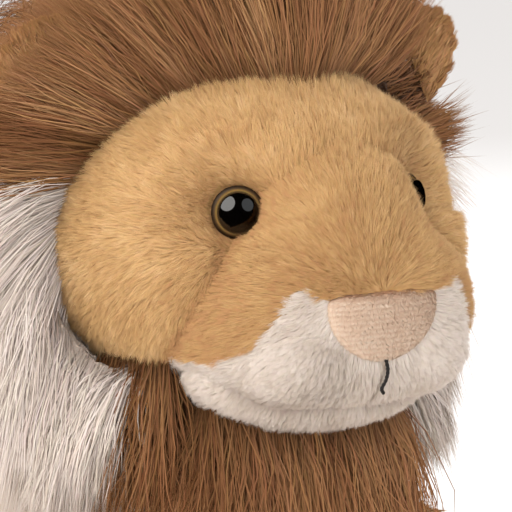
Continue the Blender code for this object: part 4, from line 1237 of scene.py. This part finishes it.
def clear_of_body(lines):
    """Shorten strands of the head that would run into the body or a leg as the head turns."""
    reach = np.ones((len(lines), 1, 1))
    roots = lines[:, :1]
    tested = np.arange(len(lines))
    for _ in range(SHORTENING_ROUNDS):
        blocked = np.zeros(len(tested), dtype=bool)
        trial = roots[tested] + (lines[tested] - roots[tested]) * reach[tested]
        for degrees in HEAD_TURNS:
            cosine, sine = math.cos(math.radians(degrees)), math.sin(math.radians(degrees))
            for level in (-1, -2):
                turned_places = trial[:, level].copy()
                away = turned_places[:, :2] - HEAD_TURN_PLACE
                turned_places[:, 0] = HEAD_TURN_PLACE[0] + away[:, 0] * cosine - away[:, 1] * sine
                turned_places[:, 1] = HEAD_TURN_PLACE[1] + away[:, 0] * sine + away[:, 1] * cosine
                blocked |= ~outside(turned_places, BODY_BELOW, BODY_CLEARANCE * MM)
        tested = tested[blocked]
        reach[tested] *= SHORTENING
    return roots + (lines - roots) * reach


def long_pile(name, places, facing, start, end, length, width, tone, material, body, seed,
              spacing=4.0, pull=0.55, wave=1.2, roll=0.35, levels=3, stray=0.065, over_body=False):
    """Grow, gather and dress one piece of long pile."""
    rng = np.random.default_rng(seed)
    count = len(places)
    length = length * MM * rng.uniform(0.7, 1.1, count)
    aside = rng.normal(scale=stray, size=(count, 3))
    start, end = unit_rows(start + aside), unit_rows(end + aside)
    lines = lines_from(places, start, end, length, levels)
    sway = unit_rows(np.cross(start, rng.normal(size=(count, 3))))
    phase = rng.uniform(0, 2 * math.pi, count)
    beats = rng.uniform(0.4, 1.2, count)
    lines, locks = gather(lines, spacing * MM, pull, rng)
    for level in range(1, levels + 1):
        share = level / levels
        push = (np.sin(2 * math.pi * beats * share + phase) - np.sin(phase)) * wave * MM
        lines[:, level] += sway * push[:, None]
    if over_body:
        lines = clear_of_body(lines)
    lines[:, :, 2] = np.maximum(lines[:, :, 2], GROUND_CLEARANCE)
    tone = tone + rng.normal(scale=0.10, size=count)[locks] + rng.normal(scale=0.08, size=count)
    item = ribbons(name, lines, facing, width * MM * rng.uniform(0.7, 1.3, count), tone, rng, roll, 3.0, 1.0)
    return dress(item, material, body)


def ring_ways(places):
    """Directions away from the axis of the head."""
    across, _, rise = face_measures(places)
    return unit_rows(np.stack([across, 0 * across, rise + 3], 1))


BACKWARD = np.array((0.0, 1.0, 0.0))
UP = -DOWN
SCALP_DEPTH = 26.0
EAR_ANGLES = (47.0, 74.0)
EAR_CLEARANCE = 13.0


def scalp_roots(count, seed, low_angle, high_angle, side, depth=SCALP_DEPTH, open_ear=False):
    """Roots on the strip of the head behind the seam, between two ring angles."""
    rng = np.random.default_rng(seed)

    def on_strip(places):
        angle = ring_angle(places)
        behind = -before_seam(places)
        keep = (angle >= low_angle) & (angle < high_angle) & (behind > -1.5) & (behind < depth)
        if side:
            keep &= places[:, 0] * side > 0
        if open_ear:
            keep &= (angle < EAR_ANGLES[0]) | (angle > EAR_ANGLES[1]) | (behind > EAR_CLEARANCE)
        return keep

    places, _ = scatter_where(head_skin, count, rng, on_strip)
    return places, np.clip(-before_seam(places) / depth, 0, 1)


def crown_piece(name, low_angle, high_angle, side, count, seed, length, node, open_ear=False):
    rng = np.random.default_rng(seed)
    places, depth = scalp_roots(count, seed + 1, low_angle, high_angle, side, open_ear=open_ear)
    outward = ring_ways(places)
    far_back = np.interp(places[:, 0] / MM, (-5, 25), (0.9, -0.3)) * depth**2.5
    lean = (0.02 + 0.85 * depth + far_back)[:, None]
    start = outward + BACKWARD * lean
    end = outward + BACKWARD * (lean + 0.25) + DOWN * 0.12
    tone = 0.44 + 0.15 * mottle(places, 0.012, rng)
    facing = unit_rows(outward * depth[:, None] - BACKWARD * (1.2 - depth)[:, None] + UP * 0.3)
    item = long_pile(name, places, facing, start, end, length, 0.30, tone, brown_pile, "head_group",
                     seed + 2, wave=2.0, stray=0.10)
    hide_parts(node)


crown_piece("crown_pile", 0, 43, 0, 34000, 301, 56.0, "mane_crown")
crown_piece("mane_left_pile", 43, 80, 1, 18000, 311, 46.0, "mane_left", open_ear=True)
crown_piece("mane_right_pile", 43, 82, -1, 29000, 321, 50.0, "mane_right")


RUFF_ANGLES = (78, 148)
RUFF_SCALP_DEPTH = 30.0


def ruff_piece(word, side, count, seed):
    rng = np.random.default_rng(seed)
    places, depth = scalp_roots(count, seed + 1, *RUFF_ANGLES, side, RUFF_SCALP_DEPTH)
    outward = ring_ways(places)
    low = np.interp(ring_angle(places), (80, 106), (0, 1))[:, None]
    back = (0.1 + 0.5 * depth)[:, None] + low * (0.3 * depth[:, None] - 0.45)
    start = outward * 0.9 + BACKWARD * back + DOWN * 0.6 * low
    end = outward * (0.6 - 0.45 * low) + BACKWARD * 0.1 + DOWN * (0.55 + 0.45 * low)
    length = 58 + 20 * low[:, 0]
    tone = 0.5 + 0.2 * mottle(places, 0.012, rng)
    facing = unit_rows(outward * 0.6 - BACKWARD)
    item = long_pile(f"ruff_{word}_pile", places, facing, start, end, length, 0.28, tone, ruff_pile,
                     "head_group", seed + 2, wave=1.5, stray=0.1, over_body=True)
    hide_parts(f"ruff_{word}")


ruff_piece("left", 1, 14000, 331)
ruff_piece("right", -1, 22000, 341)


def panel_piece(node, count, seed, length, body, start, end, keep=None, width=0.45,
                material=brown_pile, over_body=False):
    """Long pile all over one panel, brushed one way."""
    rng = np.random.default_rng(seed)
    places, normals = scatter(long_skins[node], count, rng)
    wanted = places[:, 2] > 0.004
    if keep is not None:
        wanted &= keep(places, normals)
    places, normals = places[wanted], normals[wanted]
    first = normals * 0.45 + np.array(start)
    last = normals * 0.10 + np.array(end)
    tone = 0.4 + 0.2 * mottle(places, 0.015, rng)
    return long_pile(f"{node}_panel_pile", places, normals, first, last, length, width, tone,
                     material, body, seed + 1, over_body=over_body)


TUFT_ROOT_LENGTH = 10.0


def faces_out(places, normals):
    """Places on the sides of a panel that face away from the head, forward or up."""
    outward = (normals * ring_ways(places)).sum(1) > -0.25
    return outward | (normals[:, 1] < -0.3) | (normals[:, 2] > 0.2)


CHEST_HALF_WIDTH_RIGHT = 49.0
CHEST_HALF_WIDTH_LEFT = 39.0
CHEST_MIDDLE_FORWARD = 5.0
CHEST_HALF_DEPTH = 38.0
CHIN_UNDERSIDE = -58


def on_chest(places):
    """Places inside the rounded outline of the chest pile, seen from above."""
    across, forward, _ = face_measures(places)
    depth = np.clip((forward - CHEST_MIDDLE_FORWARD) / CHEST_HALF_DEPTH, 0, 1)
    widest = np.where(across < 0, CHEST_HALF_WIDTH_RIGHT, CHEST_HALF_WIDTH_LEFT)
    return np.abs(across) < widest * np.sqrt(1 - depth**2)


def chest_piece():
    """Brown pile that hangs from under the chin in front of the chest panel."""
    rng = np.random.default_rng(355)

    def below(spots):
        across, forward, rise = face_measures(spots)
        return (rise < -44) & (forward < 36) & (forward > -26) & on_chest(spots)

    under_head, _ = scatter_where(head_skin, 12000, rng, below)
    under_chin, _ = scatter_where(
        chin_skin, 10000, rng, lambda spots: below(spots) & (face_measures(spots)[2] < CHIN_UNDERSIDE))
    places = np.concatenate([under_head, under_chin])
    places = places[outside(places, [muzzle_skin])]
    outward = ring_ways(places)
    start = DOWN + outward * 0.35 - BACKWARD * 0.30
    end = DOWN + BACKWARD * 0.1
    tone = 0.30 + 0.2 * mottle(places, 0.015, rng)
    facing = np.tile(-BACKWARD, (len(places), 1))
    item = long_pile("chest_pile", places, facing, start, end, 60.0, 0.36, tone, brown_pile, "head_group",
                     356, wave=3.4, stray=0.18)
    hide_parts("mane_chest")


chest_piece()
panel_piece("mane_chest", 10000, 351, 46.0, "head_group", (0, -0.1, -0.9), (0, 0.1, -1.0),
            lambda places, _: on_chest(places), over_body=True)
nape = panel_piece("mane_nape", 12000, 361, 42.0, "head_group", (0, 0.5, 0.1), (0, 0.6, -0.8))
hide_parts("mane_nape")
tuft = panel_piece("tail_tuft", 6000, 371, 22.0, "tail_group", (0.6, 0.3, 0), (0.9, 0.2, -0.2), width=0.6)
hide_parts("tail_tuft")


def tuft_root():
    """Brown pile that starts on the end of the tail and joins it to the tuft."""
    rng = np.random.default_rng(375)
    end_skin = long_skins["tail_tuft"]
    places, normals = scatter_where(
        gold_skins["tail"], 1800, rng, lambda spots: gaps_to(end_skin, spots) < TUFT_ROOT_LENGTH)
    ahead = unit_rows(read_points(end_skin).mean(0) - places)
    tone = 0.4 + 0.2 * mottle(places, 0.015, rng)
    return long_pile("tail_tuft_root_pile", places, normals, ahead + normals * 0.5,
                     ahead + normals * 0.3, 20.0, 0.5, tone, brown_pile, "tail_group", 376)


tuft_root()
PANEL_WAYS = (("mane_crown", 0, 1.0), ("mane_left", 0.7, 0.45), ("mane_right", -0.7, 0.45))
for number, (node, side, up) in enumerate(PANEL_WAYS):
    panel_piece(node, 8000, 381 + number, 24.0, "head_group", (side, 0.3, up), (side, 0.5, up - 0.3),
                faces_out)
for number, (word, side) in enumerate((("left", 1), ("right", -1))):
    panel_piece(f"ruff_{word}", 17000, 391 + number, 38.0, "head_group", (0.5 * side, 0.0, -0.6),
                (0.15 * side, 0.0, -1), faces_out, 0.4, ruff_pile, over_body=True)
